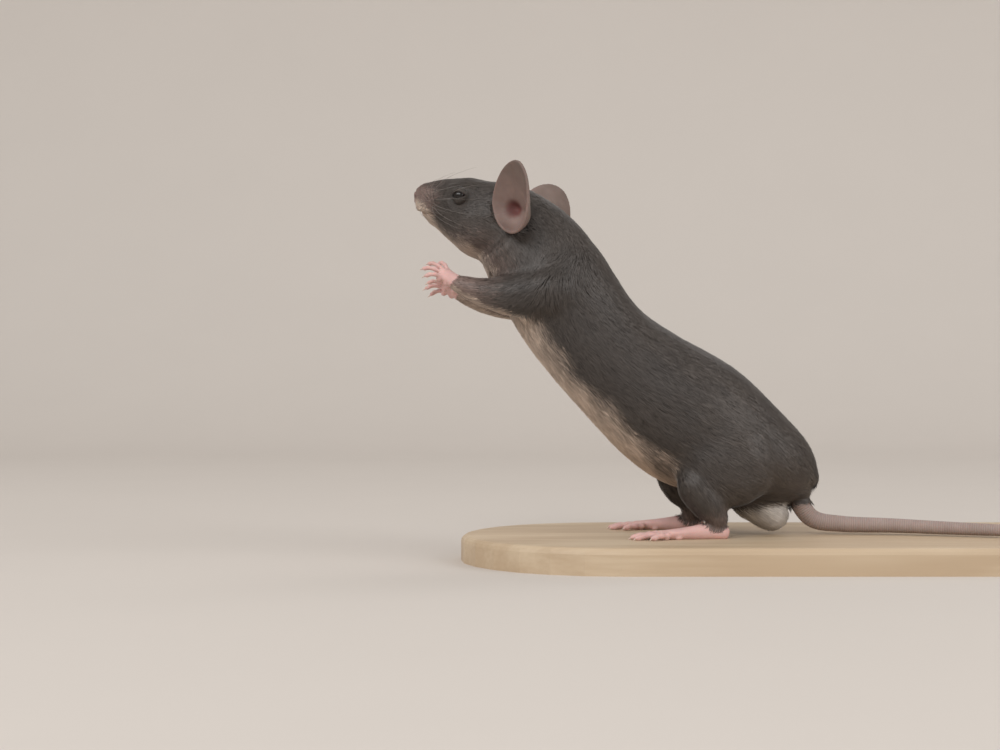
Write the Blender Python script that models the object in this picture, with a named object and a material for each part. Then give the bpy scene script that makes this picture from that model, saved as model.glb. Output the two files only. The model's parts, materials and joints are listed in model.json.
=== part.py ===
"""A life-size house mouse that rears up on its hind feet, on a plain display base.

Metres, +Z up. The nose points to -X and the mouse's left side to -Y.
The origin is the middle of the base's underside.

The body is modelled whole, from lofts and rounded masses that a voxel remesh fuses.
Thin cuts then part it into head, neck, trunk, legs and feet. Ears, eyes, tail and base
are modelled as pieces of their own.

Body stations are in millimetres: x along the ground, y across and z above the base's top.
"""

import math

import bmesh
import bpy
from mathutils import Matrix, Vector

MM = 0.001
CUT = 0.3  # the gap between two neighbouring pieces

# --- display base -------------------------------------------------------------------
BASE_LENGTH = 146.0
BASE_WIDTH = 58.0
BASE_THICK = 5.0
BASE_BEVEL = 1.2
BASE_CORNER_STEPS = 14
BODY_SHIFT = -29.0  # where the body's own x = 0 lies, measured from the middle of the base

# --- trunk --------------------------------------------------------------------------
# name: (x, z, half height towards the back, towards the belly, half width)
TRUNK = {
    "tail_root": (21.8, 8.8, 5.2, 3.4, 3.8),
    "rump": (17.2, 12.0, 8.4, 7.6, 8.8),
    "hips": (9.6, 16.4, 11.0, 10.8, 12.2),
    "loins": (2.5, 21.0, 12.5, 13.6, 13.2),
    "belly": (-3.5, 25.1, 12.3, 13.8, 12.8),
    "waist": (-9.6, 29.9, 11.0, 12.8, 11.8),
    "ribs": (-16.5, 35.7, 10.2, 11.4, 11.0),
    "chest": (-21.9, 42.1, 10.6, 11.2, 10.6),
    "shoulders": (-26.0, 48.3, 10.8, 11.0, 10.6),
    "neck": (-29.4, 54.0, 9.8, 11.0, 9.0),
    "nape": (-33.2, 58.6, 8.2, 9.6, 7.4),
}
TRUNK_PEAR = 0.06  # how much narrower the back is than the belly

# --- head ---------------------------------------------------------------------------
SKULL_PIVOT = (-28.5, 0.0, 58.0)
HEAD_YAW = 15.0  # degrees that the nose turns towards the mouse's right
# name: (x, z, half height up, down, half width, pear), before the head turns
HEAD = {
    "occiput": (-29.8, 57.6, 7.0, 7.6, 7.6, 0.05),
    "ears": (-35.6, 60.6, 7.2, 8.6, 6.9, 0.10),
    "cheeks": (-40.6, 61.8, 6.6, 8.8, 7.0, 0.16),
    "eyes": (-44.8, 63.0, 6.5, 6.8, 5.6, 0.16),
    "bridge": (-48.6, 64.4, 4.9, 4.9, 3.8, 0.12),
    "whisker_pads": (-51.4, 65.2, 3.5, 3.6, 2.9, 0.10),
    "nostrils": (-53.3, 65.6, 2.5, 2.3, 2.0, 0.0),
    "nose_tip": (-54.2, 65.7, 1.3, 1.1, 1.2, 0.0),
}
# name: (x, distance from the middle plane, z), then its radii
HEAD_MASSES = {
    "jaw": ((-39.6, 3.2, 58.0), (5.6, 4.0, 4.0)),
    "whisker_pad": ((-51.2, 1.5, 63.5), (2.7, 1.8, 2.1)),
    "brow": ((-44.6, 3.5, 66.2), (3.2, 1.7, 1.6)),
}
CHIN = ((-49.8, 0.0, 60.9), (2.2, 1.7, 1.6))

LEFT, RIGHT = -1, 1
SIDES = {"left": LEFT, "right": RIGHT}

EYE_RADIUS = 1.7
EYE_AT = (-43.3, 4.7, 64.8)

EAR_HEIGHT = 13.6
EAR_HALF_WIDTH = 6.0
EAR_THICK = 0.7
EAR_WIDEST = 0.38  # the share of its height at which it is widest
EAR_DEPTH = 4.0
EAR_DEEPEST = 0.28  # the share of its height at which the bowl is deepest
EAR_AT = {"left": (-33.6, 9.3, 57.9), "right": (-33.0, 8.9, 57.8)}  # the lowest point of the rim
# the ways it stands up and its hollow faces, as (back, outwards, up)
EAR_TIP = {"left": (0.29, 0.31, 0.905), "right": (0.34, 0.60, 0.72)}
EAR_OPENS = {"left": (-0.66, 0.75, 0.0), "right": (-0.72, 0.58, -0.1)}
EAR_COLUMNS, EAR_ROWS = 10, 10

# --- legs: joints of each leg as (x, distance from the middle plane, z, radius) -------
FORELEG = {
    "left": (
        (-27.0, 6.6, 46.0, 6.0),
        (-34.6, 7.0, 45.6, 4.0),
        (-40.6, 5.8, 46.4, 2.6),
        (-44.8, 4.8, 48.1, 1.7),
    ),
    "right": (
        (-27.0, 6.6, 46.0, 6.0),
        (-34.4, 6.8, 45.2, 4.0),
        (-40.2, 5.6, 45.4, 2.6),
        (-44.2, 4.6, 46.5, 1.7),
    ),
}
SHOULDER_AT, SHOULDER_SIZE = (-26.5, 5.6, 46.8), (6.6, 5.4, 8.0)
HAND_FORWARD = {"left": (-0.80, -0.06, 0.62), "right": (-0.92, -0.06, 0.38)}
HAND_DORSAL = (-0.35, 0.35, 0.90)
HAND_WIDTH = 3.4
PALM_LENGTH = 3.2
FINGERS = ((-34, 3.1), (-11, 3.9), (11, 3.9), (36, 3.2))  # spread in degrees, length
FINGER_RADIUS = 0.5
FINGER_CURL = 0.42  # radians at each finger joint

THIGH_AT = (6.0, 8.6, 14.6)
THIGH_SIZE = (10.0, 5.6, 9.8)
SHANK = ((0.4, 9.2, 10.0, 4.2), (2.4, 9.7, 6.6, 3.5), (3.8, 9.8, 3.4, 2.3))
FOOT_LENGTH = 18.6
FOOT_TURN = 8.0  # degrees that the toes point outwards
FOOT_STEP = {"left": 0.0, "right": -2.6}  # how far forward of the left foot each one stands
FOOT_HEEL = (4.9, 9.8, 1.5)
TOES = ((-30, 3.7), (-11, 5.3), (1, 5.6), (13, 5.3), (34, 3.9))
TOE_RADIUS = 0.62
TOE_CURL = 0.1
SOLE = CUT

# --- tail ---------------------------------------------------------------------------
# x, y, z of its middle line: down behind the rump and then laid along the base
TAIL = (
    (17.4, 0.0, 11.2),
    (20.4, 0.0, 7.1),
    (23.5, -0.1, 3.2),
    (29.0, -0.6, 2.3),
    (38.5, -2.0, 2.1),
    (50.5, -5.4, 1.8),
    (64.5, -10.6, 1.6),
    (78.5, -15.6, 1.3),
    (91.5, -17.0, 0.9),
)
TAIL_ROOT_RADIUS = 2.05
TAIL_TIP_RADIUS = 0.5
TAIL_STUB = 0.125  # the share of the tail that is part of the rump
TAIL_SHARES = {"tail_root": (0.128, 0.36), "tail_middle": (0.363, 0.66), "tail_tip": (0.663, 1.0)}
TAIL_AROUND, TAIL_RINGS = 12, 10

SCROTUM_FROM, SCROTUM_TO = (11.4, 0.0, 7.4, 4.5), (15.7, 0.0, 3.9, 3.5)  # with radii

# --- thin cuts: boxes as (lowest corner, highest corner), y as distance from the middle
FOOT_CELL = ((-24.0, 5.4, -1.0), (10.0, 20.0, 3.3))
SCROTUM_CELL = ((6.0, -5.3, -1.0), (21.0, 5.3, 4.9))
HAUNCH_CENTRE, HAUNCH_RADIUS, HAUNCH_DEPTH = (4.2, 13.6), 10.6, 7.4
HAND_CELL_HALF, FORELEG_CELL_HALF = 4.4, 3.4
FORELEG_CUT = -39.6  # x of the cut between chest and foreleg
# from nose to tail: the cut's place and the way it faces, between each two pieces
CORE_PIECES = ("head", "neck", "chest", "trunk", "hips")
CORE_CUTS = (
    ((-32.0, 0.0, 56.2), (-0.54, 0.0, 0.84)),
    ((-27.6, 0.0, 51.0), (-0.54, 0.0, 0.84)),
    ((-19.6, 0.0, 39.4), (-0.62, 0.0, 0.78)),
    ((-3.5, 0.0, 25.1), (-0.8, 0.0, 0.6)),
)

# --- mesh sizes ---------------------------------------------------------------------
BULK_VOXEL, BULK_SMOOTH = 0.6, 11
LIMB_VOXEL, LIMB_SMOOTH = 0.45, 5
FINE_VOXEL, FINE_SMOOTH = 0.24, 3
FLESH_TRIANGLES = 3900
CUTTER_REACH = 130.0  # longer than the body

COLOURS = {  # colour, roughness
    "coat_dark": ((0.055, 0.048, 0.045), 0.75),
    "bare_skin": ((0.60, 0.36, 0.32), 0.55),
    "ear_skin": ((0.30, 0.19, 0.17), 0.6),
    "tail_skin": ((0.23, 0.16, 0.15), 0.55),
    "pouch_fur": ((0.36, 0.32, 0.28), 0.8),
    "eye": ((0.01, 0.009, 0.01), 0.08),
    "wood": ((0.62, 0.52, 0.40), 0.5),
}


def body_point(x, y, z):
    """A point of the body, from millimetres over the base's top to the part's frame."""
    return Vector((x + BODY_SHIFT, y, z + BASE_THICK)) * MM


def clear_scene():
    for obj in list(bpy.data.objects):
        bpy.data.objects.remove(obj)


def material(name):
    colour, roughness = COLOURS[name]
    made = bpy.data.materials.new(name)
    made.use_nodes = True
    shader = made.node_tree.nodes["Principled BSDF"]
    shader.inputs["Base Color"].default_value = (*colour, 1.0)
    shader.inputs["Roughness"].default_value = roughness
    made.diffuse_color = (*colour, 1.0)
    return made


def add_object(name, mesh):
    obj = bpy.data.objects.new(name, mesh)
    bpy.context.scene.collection.objects.link(obj)
    return obj


def spread_along(rows, count, start=0.0, end=1.0):
    """count rows on a smooth curve through the given ones (Catmull-Rom), evenly by their number."""
    last = len(rows) - 1
    found = []
    for i in range(count):
        place = (start + (end - start) * i / (count - 1)) * last
        k = min(int(place), last - 1)
        t = place - k
        before, a, b, after = (rows[max(0, min(last, k + n))] for n in (-1, 0, 1, 2))
        row = []
        for p, q, r, s in zip(before, a, b, after):
            bend = (2 * p - 5 * q + 4 * r - s) * t**2 + (3 * q - p - 3 * r + s) * t**3
            row.append(0.5 * (2 * q + (r - p) * t + bend))
        found.append(tuple(row))
    return found


def add_loft(bm, rows, up_hint, around=28):
    """A closed tube through rows of (x, y, z, half height up, down, half width, pear), in millimetres."""
    rings = []
    middles = [Vector(row[:3]) for row in rows]
    for i, (middle, row) in enumerate(zip(middles, rows)):
        along = (middles[min(i + 1, len(rows) - 1)] - middles[max(i - 1, 0)]).normalized()
        across = along.cross(Vector(up_hint)).normalized()
        up = across.cross(along)
        ring = []
        for step in range(around):
            angle = math.tau * step / around
            height = math.sin(angle) * (row[3] if math.sin(angle) > 0 else row[4])
            width = math.cos(angle) * row[5] * (1 - row[6] * math.sin(angle))
            ring.append(bm.verts.new(middle + across * width + up * height))
        rings.append(ring)
    for lower, upper in zip(rings, rings[1:]):
        for step in range(around):
            after = (step + 1) % around
            bm.faces.new((lower[step], lower[after], upper[after], upper[step]))
    bm.faces.new(rings[0][::-1])
    bm.faces.new(rings[-1])


def add_tube(bm, joints, up_hint=(0.0, 0.0, 1.0), samples=10, around=20):
    """A limb of round section with rounded ends, through joints of (x, y, z, radius)."""
    rows = [(*joint, joint[3], joint[3], 0.0) for joint in spread_along(joints, samples)]
    add_loft(bm, rows, up_hint, around)
    for end in (joints[0], joints[-1]):
        add_ellipsoid(bm, end[:3], (end[3],) * 3)


def add_ellipsoid(bm, centre, radii, turn=None):
    place = Matrix.Translation(centre) @ (turn or Matrix()) @ Matrix.Diagonal((*radii, 1.0))
    bmesh.ops.create_icosphere(bm, subdivisions=2, radius=1.0, matrix=place)


def mesh_of(bm, name):
    """The bmesh as a mesh in the part's frame, with its faces pointing out."""
    bmesh.ops.recalc_face_normals(bm, faces=bm.faces)
    for vert in bm.verts:
        vert.co = body_point(*vert.co)
    mesh = bpy.data.meshes.new(name)
    bm.to_mesh(mesh)
    bm.free()
    return mesh


def evaluated_mesh(obj, name):
    """The object's mesh with its modifiers applied. The object is removed."""
    graph = bpy.context.evaluated_depsgraph_get()
    mesh = bpy.data.meshes.new_from_object(obj.evaluated_get(graph))
    mesh.name = name
    bpy.data.objects.remove(obj)
    return mesh


def fused(meshes, name, voxel, smooth, triangles=None):
    """One closed mesh of the outside of all the given ones, with the creases between them eased."""
    bm = bmesh.new()
    for mesh in meshes:
        bm.from_mesh(mesh)
    joined = bpy.data.meshes.new(name)
    bm.to_mesh(joined)
    bm.free()
    obj = add_object(name, joined)
    remesh = obj.modifiers.new("fuse", "REMESH")
    remesh.mode = "VOXEL"
    remesh.voxel_size = voxel * MM
    ease = obj.modifiers.new("ease", "SMOOTH")
    ease.factor = 0.5
    ease.iterations = smooth
    if triangles:
        corners = obj.modifiers.new("corners", "TRIANGULATE")
        corners.keep_custom_normals = False
        full = len(evaluated_copy(obj).loop_triangles)
        thin = obj.modifiers.new("thin", "DECIMATE")
        thin.ratio = triangles / full
    return evaluated_mesh(obj, name)


def evaluated_copy(obj):
    graph = bpy.context.evaluated_depsgraph_get()
    mesh = bpy.data.meshes.new_from_object(obj.evaluated_get(graph))
    mesh.calc_loop_triangles()
    return mesh


# --- the body, whole ----------------------------------------------------------------


def head_turn():
    pivot = Matrix.Translation(SKULL_PIVOT)
    return pivot @ Matrix.Rotation(math.radians(-HEAD_YAW), 4, "Z") @ pivot.inverted()


def head_place(x, side_distance, z, side):
    """A point of the turned head, from its place on a head that looks straight ahead."""
    return head_turn() @ Vector((x, side * side_distance, z))


def bulk_mesh():
    """Trunk, neck, head and the muscle masses of the legs."""
    head = bmesh.new()
    rows = [(x, 0.0, *rest) for x, *rest in HEAD.values()]
    add_loft(head, spread_along(rows, 30), up_hint=(0.2, 0.0, 1.0))
    add_ellipsoid(head, *CHIN)
    for side in SIDES.values():
        for (x, y, z), radii in HEAD_MASSES.values():
            add_ellipsoid(head, (x, side * y, z), radii)
    bmesh.ops.transform(head, matrix=head_turn(), verts=head.verts)
    body = bmesh.new()
    rows = [(x, 0.0, z, up, down, wide, TRUNK_PEAR) for x, z, up, down, wide in TRUNK.values()]
    add_loft(body, spread_along(rows, 44), up_hint=(0.7, 0.0, 0.7))
    for side in SIDES.values():
        for (x, y, z), radii in ((THIGH_AT, THIGH_SIZE), (SHOULDER_AT, SHOULDER_SIZE)):
            add_ellipsoid(body, (x, side * y, z), radii)
    return fused([mesh_of(head, "head"), mesh_of(body, "body")], "bulk", BULK_VOXEL, BULK_SMOOTH)


def limb_mesh():
    bm = bmesh.new()
    for name, side in SIDES.items():
        add_tube(bm, [(x, side * y, z, r) for x, y, z, r in FORELEG[name]])
        step = FOOT_STEP[name]
        add_tube(bm, [(x + step, side * y, z, r) for x, y, z, r in SHANK])
    add_tube(bm, [SCROTUM_FROM, SCROTUM_TO])
    return mesh_of(bm, "limbs")


def add_digit(bm, root, forward, bend_to, length, radius, curl):
    """A finger or toe that leaves its root along forward and bends over its two joints towards bend_to."""
    forward, bend_to = forward.normalized(), bend_to.normalized()
    points = [root]
    for share, bend in ((0.42, 0.0), (0.33, curl), (0.25, 2 * curl)):
        heading = forward * math.cos(bend) + bend_to * math.sin(bend)
        points.append(points[-1] + heading * length * share)
    radii = (radius * 1.1, radius, radius * 0.9, radius * 0.62)
    hint = bend_to if abs(bend_to.dot(forward)) < 0.9 else Vector((0.0, 1.0, 0.0))
    add_tube(bm, [(*p, r) for p, r in zip(points, radii)], hint, samples=8, around=10)


def add_hand(bm, name, side):
    """The palm and its four fingers, reaching forward and half curled."""
    joints = FORELEG[name]
    wrist = Vector((joints[-1][0], side * joints[-1][1], joints[-1][2]))
    x, y, z = HAND_FORWARD[name]
    forward = Vector((x, side * y, z)).normalized()
    dorsal = Vector((HAND_DORSAL[0], side * HAND_DORSAL[1], HAND_DORSAL[2]))
    across = forward.cross(dorsal).normalized()
    dorsal = across.cross(forward)
    palm_end = wrist + forward * PALM_LENGTH
    palm = [
        (*wrist, 1.5, 1.5, 1.7, 0.0),
        (*(wrist + forward * PALM_LENGTH / 2), 1.1, 1.2, 1.7, 0.0),
        (*palm_end, 0.8, 0.9, HAND_WIDTH / 2, 0.0),
    ]
    add_loft(bm, spread_along(palm, 8), dorsal, around=16)
    add_ellipsoid(bm, palm_end, (0.95, 0.95, 0.95))
    for spread, length in FINGERS:
        angle = math.radians(spread)
        heading = forward * math.cos(angle) + across * math.sin(angle)
        root = palm_end + across * math.sin(angle) * 2.3 - forward * (1 - math.cos(angle)) * 1.5
        add_digit(bm, root, heading, -dorsal, length, FINGER_RADIUS, FINGER_CURL)


def add_foot(bm, name, side):
    """The long hind foot, flat on its sole, with five toes."""
    step = FOOT_STEP[name]
    heel = Vector((FOOT_HEEL[0] + step, side * FOOT_HEEL[1], FOOT_HEEL[2]))
    turn = math.radians(FOOT_TURN)
    forward = Vector((-math.cos(turn), side * math.sin(turn), 0.0))
    across = Vector((0.0, 0.0, 1.0)).cross(forward) * side
    ball = heel + forward * (FOOT_LENGTH - TOES[2][1] - 1.5)
    rows = [
        (*heel, 1.9, 1.5, 1.4, 0.0),
        (*(heel + forward * 3.0), 1.8, 1.6, 1.6, 0.0),
        (*(heel + forward * 7.0), 1.1, 1.5, 1.6, 0.0),
        (*ball, 0.5, 1.5, 2.1, 0.0),
    ]
    add_loft(bm, spread_along(rows, 14), (0.0, 0.0, 1.0), around=18)
    add_ellipsoid(bm, heel, (1.5, 1.4, 1.6))
    add_ellipsoid(bm, ball - Vector((0.0, 0.0, 0.5)), (1.7, 2.0, 1.1))
    for spread, length in TOES:
        angle = math.radians(spread)
        heading = forward * math.cos(angle) + across * math.sin(angle)
        root = ball + across * math.sin(angle) * 3.6 - forward * (1 - math.cos(angle)) * 5.0
        root.z = 1.0
        add_digit(bm, root, heading, Vector((0.0, 0.0, -1.0)), length, TOE_RADIUS, TOE_CURL)


def flesh_mesh():
    """The whole body but ears, eyes and tail, thinned to a mesh of few triangles."""
    limbs = fused([bulk_mesh(), limb_mesh()], "limbs", LIMB_VOXEL, LIMB_SMOOTH)
    bm = bmesh.new()
    for name, side in SIDES.items():
        add_hand(bm, name, side)
        add_foot(bm, name, side)
    add_tube(bm, tail_joints(0.0, TAIL_STUB + 0.02, 6), samples=6)
    whole = fused([limbs, mesh_of(bm, "feet")], "flesh", FINE_VOXEL, FINE_SMOOTH, FLESH_TRIANGLES)
    return flattened(whole)


def flattened(mesh):
    """Cuts the soles off flat, a thin gap above the base."""
    bm = bmesh.new()
    bm.from_mesh(mesh)
    level = body_point(0.0, 0.0, SOLE)
    everything = bm.verts[:] + bm.edges[:] + bm.faces[:]
    cut = bmesh.ops.bisect_plane(bm, geom=everything, plane_co=level, plane_no=(0, 0, 1), clear_inner=True)
    rims = [e for e in cut["geom_cut"] if isinstance(e, bmesh.types.BMEdge)]
    bmesh.ops.holes_fill(bm, edges=rims, sides=0)
    bmesh.ops.triangulate(bm, faces=bm.faces[:])
    bmesh.ops.recalc_face_normals(bm, faces=bm.faces[:])
    bm.to_mesh(mesh)
    bm.free()
    return mesh


# --- parting the body ---------------------------------------------------------------


def helper(obj):
    obj.hide_render = True
    obj.display_type = "WIRE"
    return obj


def box_cutter(name, low, high, grow=0.0):
    """A box along the axes, from its lowest to its highest corner; grow makes it larger all round."""
    low, high = body_point(*low), body_point(*high)
    bm = bmesh.new()
    size = (high - low) + Vector((1, 1, 1)) * 2 * grow * MM
    place = Matrix.Translation((low + high) / 2) @ Matrix.Diagonal((*size, 1.0))
    bmesh.ops.create_cube(bm, size=1.0, matrix=place)
    return cutter_of(bm, name)


def beam_cutter(name, near, far, half_size, grow=0.0):
    """A square beam from one point to another, half_size to each side."""
    near, far = body_point(*near), body_point(*far)
    turn = (far - near).to_track_quat("Z", "Y").to_matrix().to_4x4()
    size = 2 * (half_size + grow) * MM
    length = (far - near).length + 2 * grow * MM
    bm = bmesh.new()
    place = Matrix.Translation((near + far) / 2) @ turn @ Matrix.Diagonal((size, size, length, 1.0))
    bmesh.ops.create_cube(bm, size=1.0, matrix=place)
    return cutter_of(bm, name)


def haunch_cutter(name, side, grow=0.0):
    """A round plug that takes the thigh and shank off one side of the hips."""
    x, z = HAUNCH_CENTRE
    depth = 14.0 + grow
    middle = body_point(x, side * (HAUNCH_DEPTH - grow + depth / 2), z)
    bm = bmesh.new()
    turn = Matrix.Rotation(math.radians(90), 4, "X")
    radius = (HAUNCH_RADIUS + grow) * MM
    bmesh.ops.create_cone(
        bm, cap_ends=True, segments=28, radius1=radius, radius2=radius, depth=depth * MM,
        matrix=Matrix.Translation(middle) @ turn,
    )
    return cutter_of(bm, name)


def ball_cutter(name, centre, radius):
    bm = bmesh.new()
    bmesh.ops.create_icosphere(bm, subdivisions=2, radius=radius * MM, matrix=Matrix.Translation(centre))
    return cutter_of(bm, name)


def cutter_of(bm, name):
    bmesh.ops.recalc_face_normals(bm, faces=bm.faces)
    mesh = bpy.data.meshes.new(name)
    bm.to_mesh(mesh)
    bm.free()
    return helper(add_object(name, mesh))


def on_side(box, side):
    """A box's two corners, taken from distances from the middle plane to one side of it."""
    low, high = box
    across = sorted((side * low[1], side * high[1]))
    return (low[0], across[0], low[2]), (high[0], across[1], high[2])


def limb_cutters(name, side, grow):
    """The cutters that part one side's legs from the body, from the tips inwards."""
    joints = [Vector((x, side * y, z)) for x, y, z, _ in FORELEG[name]]
    wrist, along = joints[-1], (joints[-1] - joints[-2]).normalized()
    x, y, z = HAND_FORWARD[name]
    reach = Vector((x, side * y, z)).normalized()
    elbow = joints[1] + (joints[2] - joints[1]) * (FORELEG_CUT - joints[1].x) / (joints[2].x - joints[1].x)
    fingers_end, foreleg_end = wrist + reach * 12.0, wrist + along * 3.0
    return {
        f"forepaw_{name}": beam_cutter(f"forepaw_cell_{name}", wrist, fingers_end, HAND_CELL_HALF, grow),
        f"foreleg_{name}": beam_cutter(f"foreleg_cell_{name}", elbow, foreleg_end, FORELEG_CELL_HALF, grow),
        f"hindpaw_{name}": box_cutter(f"hindpaw_cell_{name}", *on_side(FOOT_CELL, side), grow),
        f"hindleg_{name}": haunch_cutter(f"haunch_cell_{name}", side, grow),
    }


def add_boolean(obj, cutter, operation):
    boolean = obj.modifiers.new(cutter.name, "BOOLEAN")
    boolean.operation = operation
    boolean.object = cutter
    boolean.solver = "EXACT"


def largest_body(mesh):
    """The mesh without the crumbs that a cut can leave."""
    bm = bmesh.new()
    bm.from_mesh(mesh)
    bm.faces.ensure_lookup_table()
    unseen, groups = set(bm.faces), []
    while unseen:
        group, border = set(), [next(iter(unseen))]
        while border:
            face = border.pop()
            if face in group:
                continue
            group.add(face)
            border += [near for edge in face.edges for near in edge.link_faces if near not in group]
        groups.append(group)
        unseen -= group
    keep = max(groups, key=len)
    bmesh.ops.delete(bm, geom=[face for face in bm.faces if face not in keep], context="FACES")
    bm.to_mesh(mesh)
    bm.free()
    return mesh


def cut_piece(name, source, keep=None, remove=(), skin=None):
    """A node cut from a source mesh: what is inside keep, less each cutter in remove."""
    obj = add_object(name, source.copy())
    if keep:
        add_boolean(obj, keep, "INTERSECT")
    for cutter in remove:
        add_boolean(obj, cutter, "DIFFERENCE")
    mesh = largest_body(evaluated_mesh(obj, name))
    mesh.materials.clear()
    if skin:
        mesh.materials.append(skin)
        shade(mesh)
    return add_object(name, mesh) if skin else mesh


def shade(mesh):
    mesh.shade_smooth()
    mesh.set_sharp_from_angle(angle=math.radians(40))


def part_limbs(flesh, skins):
    """Cuts the legs and feet off the flesh, makes them nodes and returns the core that is left."""
    removed = []
    for name, side in SIDES.items():
        exact, grown = limb_cutters(name, side, 0.0), limb_cutters(name, side, CUT)
        taken = []
        for piece, cutter in exact.items():
            bare = piece.startswith(("forepaw", "hindpaw"))
            cut_piece(piece, flesh, cutter, taken, skins["bare_skin" if bare else "coat_dark"])
            taken.append(grown[piece])
        removed += taken
    low, high = SCROTUM_CELL
    cut_piece("scrotum", flesh, box_cutter("pouch_cell", low, high), (), skins["pouch_fur"])
    removed.append(box_cutter("pouch_gap", low, high, CUT))
    first, second = (Vector(row[:3]) for row in tail_joints(TAIL_STUB, TAIL_STUB + 0.05, 2))
    heading = (second - first).normalized()
    removed.append(beam_cutter("tail_gap", first, first + heading * 8.0, TAIL_ROOT_RADIUS + CUT))
    return cut_piece("core", flesh, None, removed)


def part_core(core, skin, eyes):
    """Head, neck, chest, trunk and hips, between thin planar cuts."""
    for i, name in enumerate(CORE_PIECES):
        cutters = []
        if i > 0:
            place, facing = (Vector(v) for v in CORE_CUTS[i - 1])
            facing.normalize()
            start = place - facing * CUT / 2
            cutters.append(beam_cutter(f"{name}_front", start, start + facing * CUTTER_REACH, CUTTER_REACH))
        if i < len(CORE_CUTS):
            place, facing = (Vector(v) for v in CORE_CUTS[i])
            facing.normalize()
            start = place + facing * CUT / 2
            cutters.append(beam_cutter(f"{name}_rear", start, start - facing * CUTTER_REACH, CUTTER_REACH))
        if name == "head":
            cutters += eyes
        cut_piece(name, core, None, cutters, skin)


def eye_centre(side):
    return body_point(*head_place(*EYE_AT, side))


def add_eyes(skin):
    for name, side in SIDES.items():
        bm = bmesh.new()
        place = Matrix.Translation(eye_centre(side))
        bmesh.ops.create_uvsphere(bm, u_segments=12, v_segments=8, radius=EYE_RADIUS * MM, matrix=place)
        mesh = bpy.data.meshes.new(f"eye_{name}")
        bm.to_mesh(mesh)
        bm.free()
        mesh.materials.append(skin)
        mesh.shade_smooth()
        add_object(f"eye_{name}", mesh)


def ear_frame(name, side):
    """The ear's base and its three directions: tip, across and the way its hollow faces."""
    turn = head_turn().to_3x3()
    x, y, z = EAR_TIP[name]
    tip = (turn @ Vector((x, side * y, z))).normalized()
    x, y, z = EAR_OPENS[name]
    opens = turn @ Vector((x, side * y, z))
    opens = (opens - tip * opens.dot(tip)).normalized()
    return head_place(*EAR_AT[name], side), tip, tip.cross(opens), opens


def ear_outline(t):
    """The ear's half width, as a share of its widest, at a height from 0, its lowest rim, to 1, its tip."""
    if t < EAR_WIDEST:
        return (1 - ((EAR_WIDEST - t) / EAR_WIDEST) ** 2.3) ** 0.5
    return max(0.0, 1 - ((t - EAR_WIDEST) / (1 - EAR_WIDEST)) ** 2) ** 0.55


def ear_depth(t):
    """How far the bowl's middle lies behind its rim at that height, in millimetres."""
    if t < EAR_DEEPEST:
        return EAR_DEPTH * (1 - (1 - t / EAR_DEEPEST) ** 2) ** 0.5
    return EAR_DEPTH * (1 - t) / (1 - EAR_DEEPEST)


def ear_point(name, side, t, s):
    """A point on the ear's bowl: t up its height, s from -1 to 1 across it."""
    base, tip, across, opens = ear_frame(name, side)
    wide = EAR_HALF_WIDTH * ear_outline(t)
    return base + tip * EAR_HEIGHT * t + across * wide * s - opens * ear_depth(t) * (1 - s * s)


def add_ears(skin, flesh):
    """Two bowl-shaped ears of even thickness, cut off just above the head."""
    near_head = helper(add_object("head_and_gap", flesh.copy()))
    near_head.data.materials.clear()
    swell = near_head.modifiers.new("swell", "DISPLACE")
    swell.strength = CUT * MM
    swell.mid_level = 0.0
    for name, side in SIDES.items():
        bm = bmesh.new()
        grid = []
        for row in range(EAR_ROWS + 1):
            t = 0.5 - 0.5 * math.cos(math.pi * row / EAR_ROWS)
            steps = range(EAR_COLUMNS + 1)
            grid.append([bm.verts.new(ear_point(name, side, t, 2 * i / EAR_COLUMNS - 1)) for i in steps])
        for lower, upper in zip(grid, grid[1:]):
            for i in range(EAR_COLUMNS):
                bm.faces.new((lower[i], lower[i + 1], upper[i + 1], upper[i]))
        bmesh.ops.remove_doubles(bm, verts=bm.verts, dist=0.02)
        obj = add_object(f"ear_{name}", mesh_of(bm, f"ear_{name}"))
        thick = obj.modifiers.new("thick", "SOLIDIFY")
        thick.thickness = EAR_THICK * MM
        thick.offset = 0.0
        add_boolean(obj, near_head, "DIFFERENCE")
        mesh = largest_body(evaluated_mesh(obj, f"ear_{name}"))
        mesh.materials.append(skin)
        shade(mesh)
        add_object(f"ear_{name}", mesh)


def tail_joints(start, end, samples=8):
    """Places along the tail with its radius there, lying no lower than the base's top."""
    joints = []
    for i, (x, y, z) in enumerate(spread_along(TAIL, samples, start, end)):
        share = start + (end - start) * i / (samples - 1)
        radius = TAIL_TIP_RADIUS + (TAIL_ROOT_RADIUS - TAIL_TIP_RADIUS) * (1 - share) ** 0.8
        joints.append((x, y, max(z, radius + CUT), radius))
    return joints


def add_tail(skin):
    for name, (start, end) in TAIL_SHARES.items():
        bm = bmesh.new()
        rows = [(*joint, joint[3], joint[3], 0.0) for joint in tail_joints(start, end, TAIL_RINGS)]
        add_loft(bm, rows, (0.0, 0.0, 1.0), TAIL_AROUND)
        mesh = mesh_of(bm, name)
        mesh.materials.append(skin)
        shade(mesh)
        add_object(name, mesh)


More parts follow.
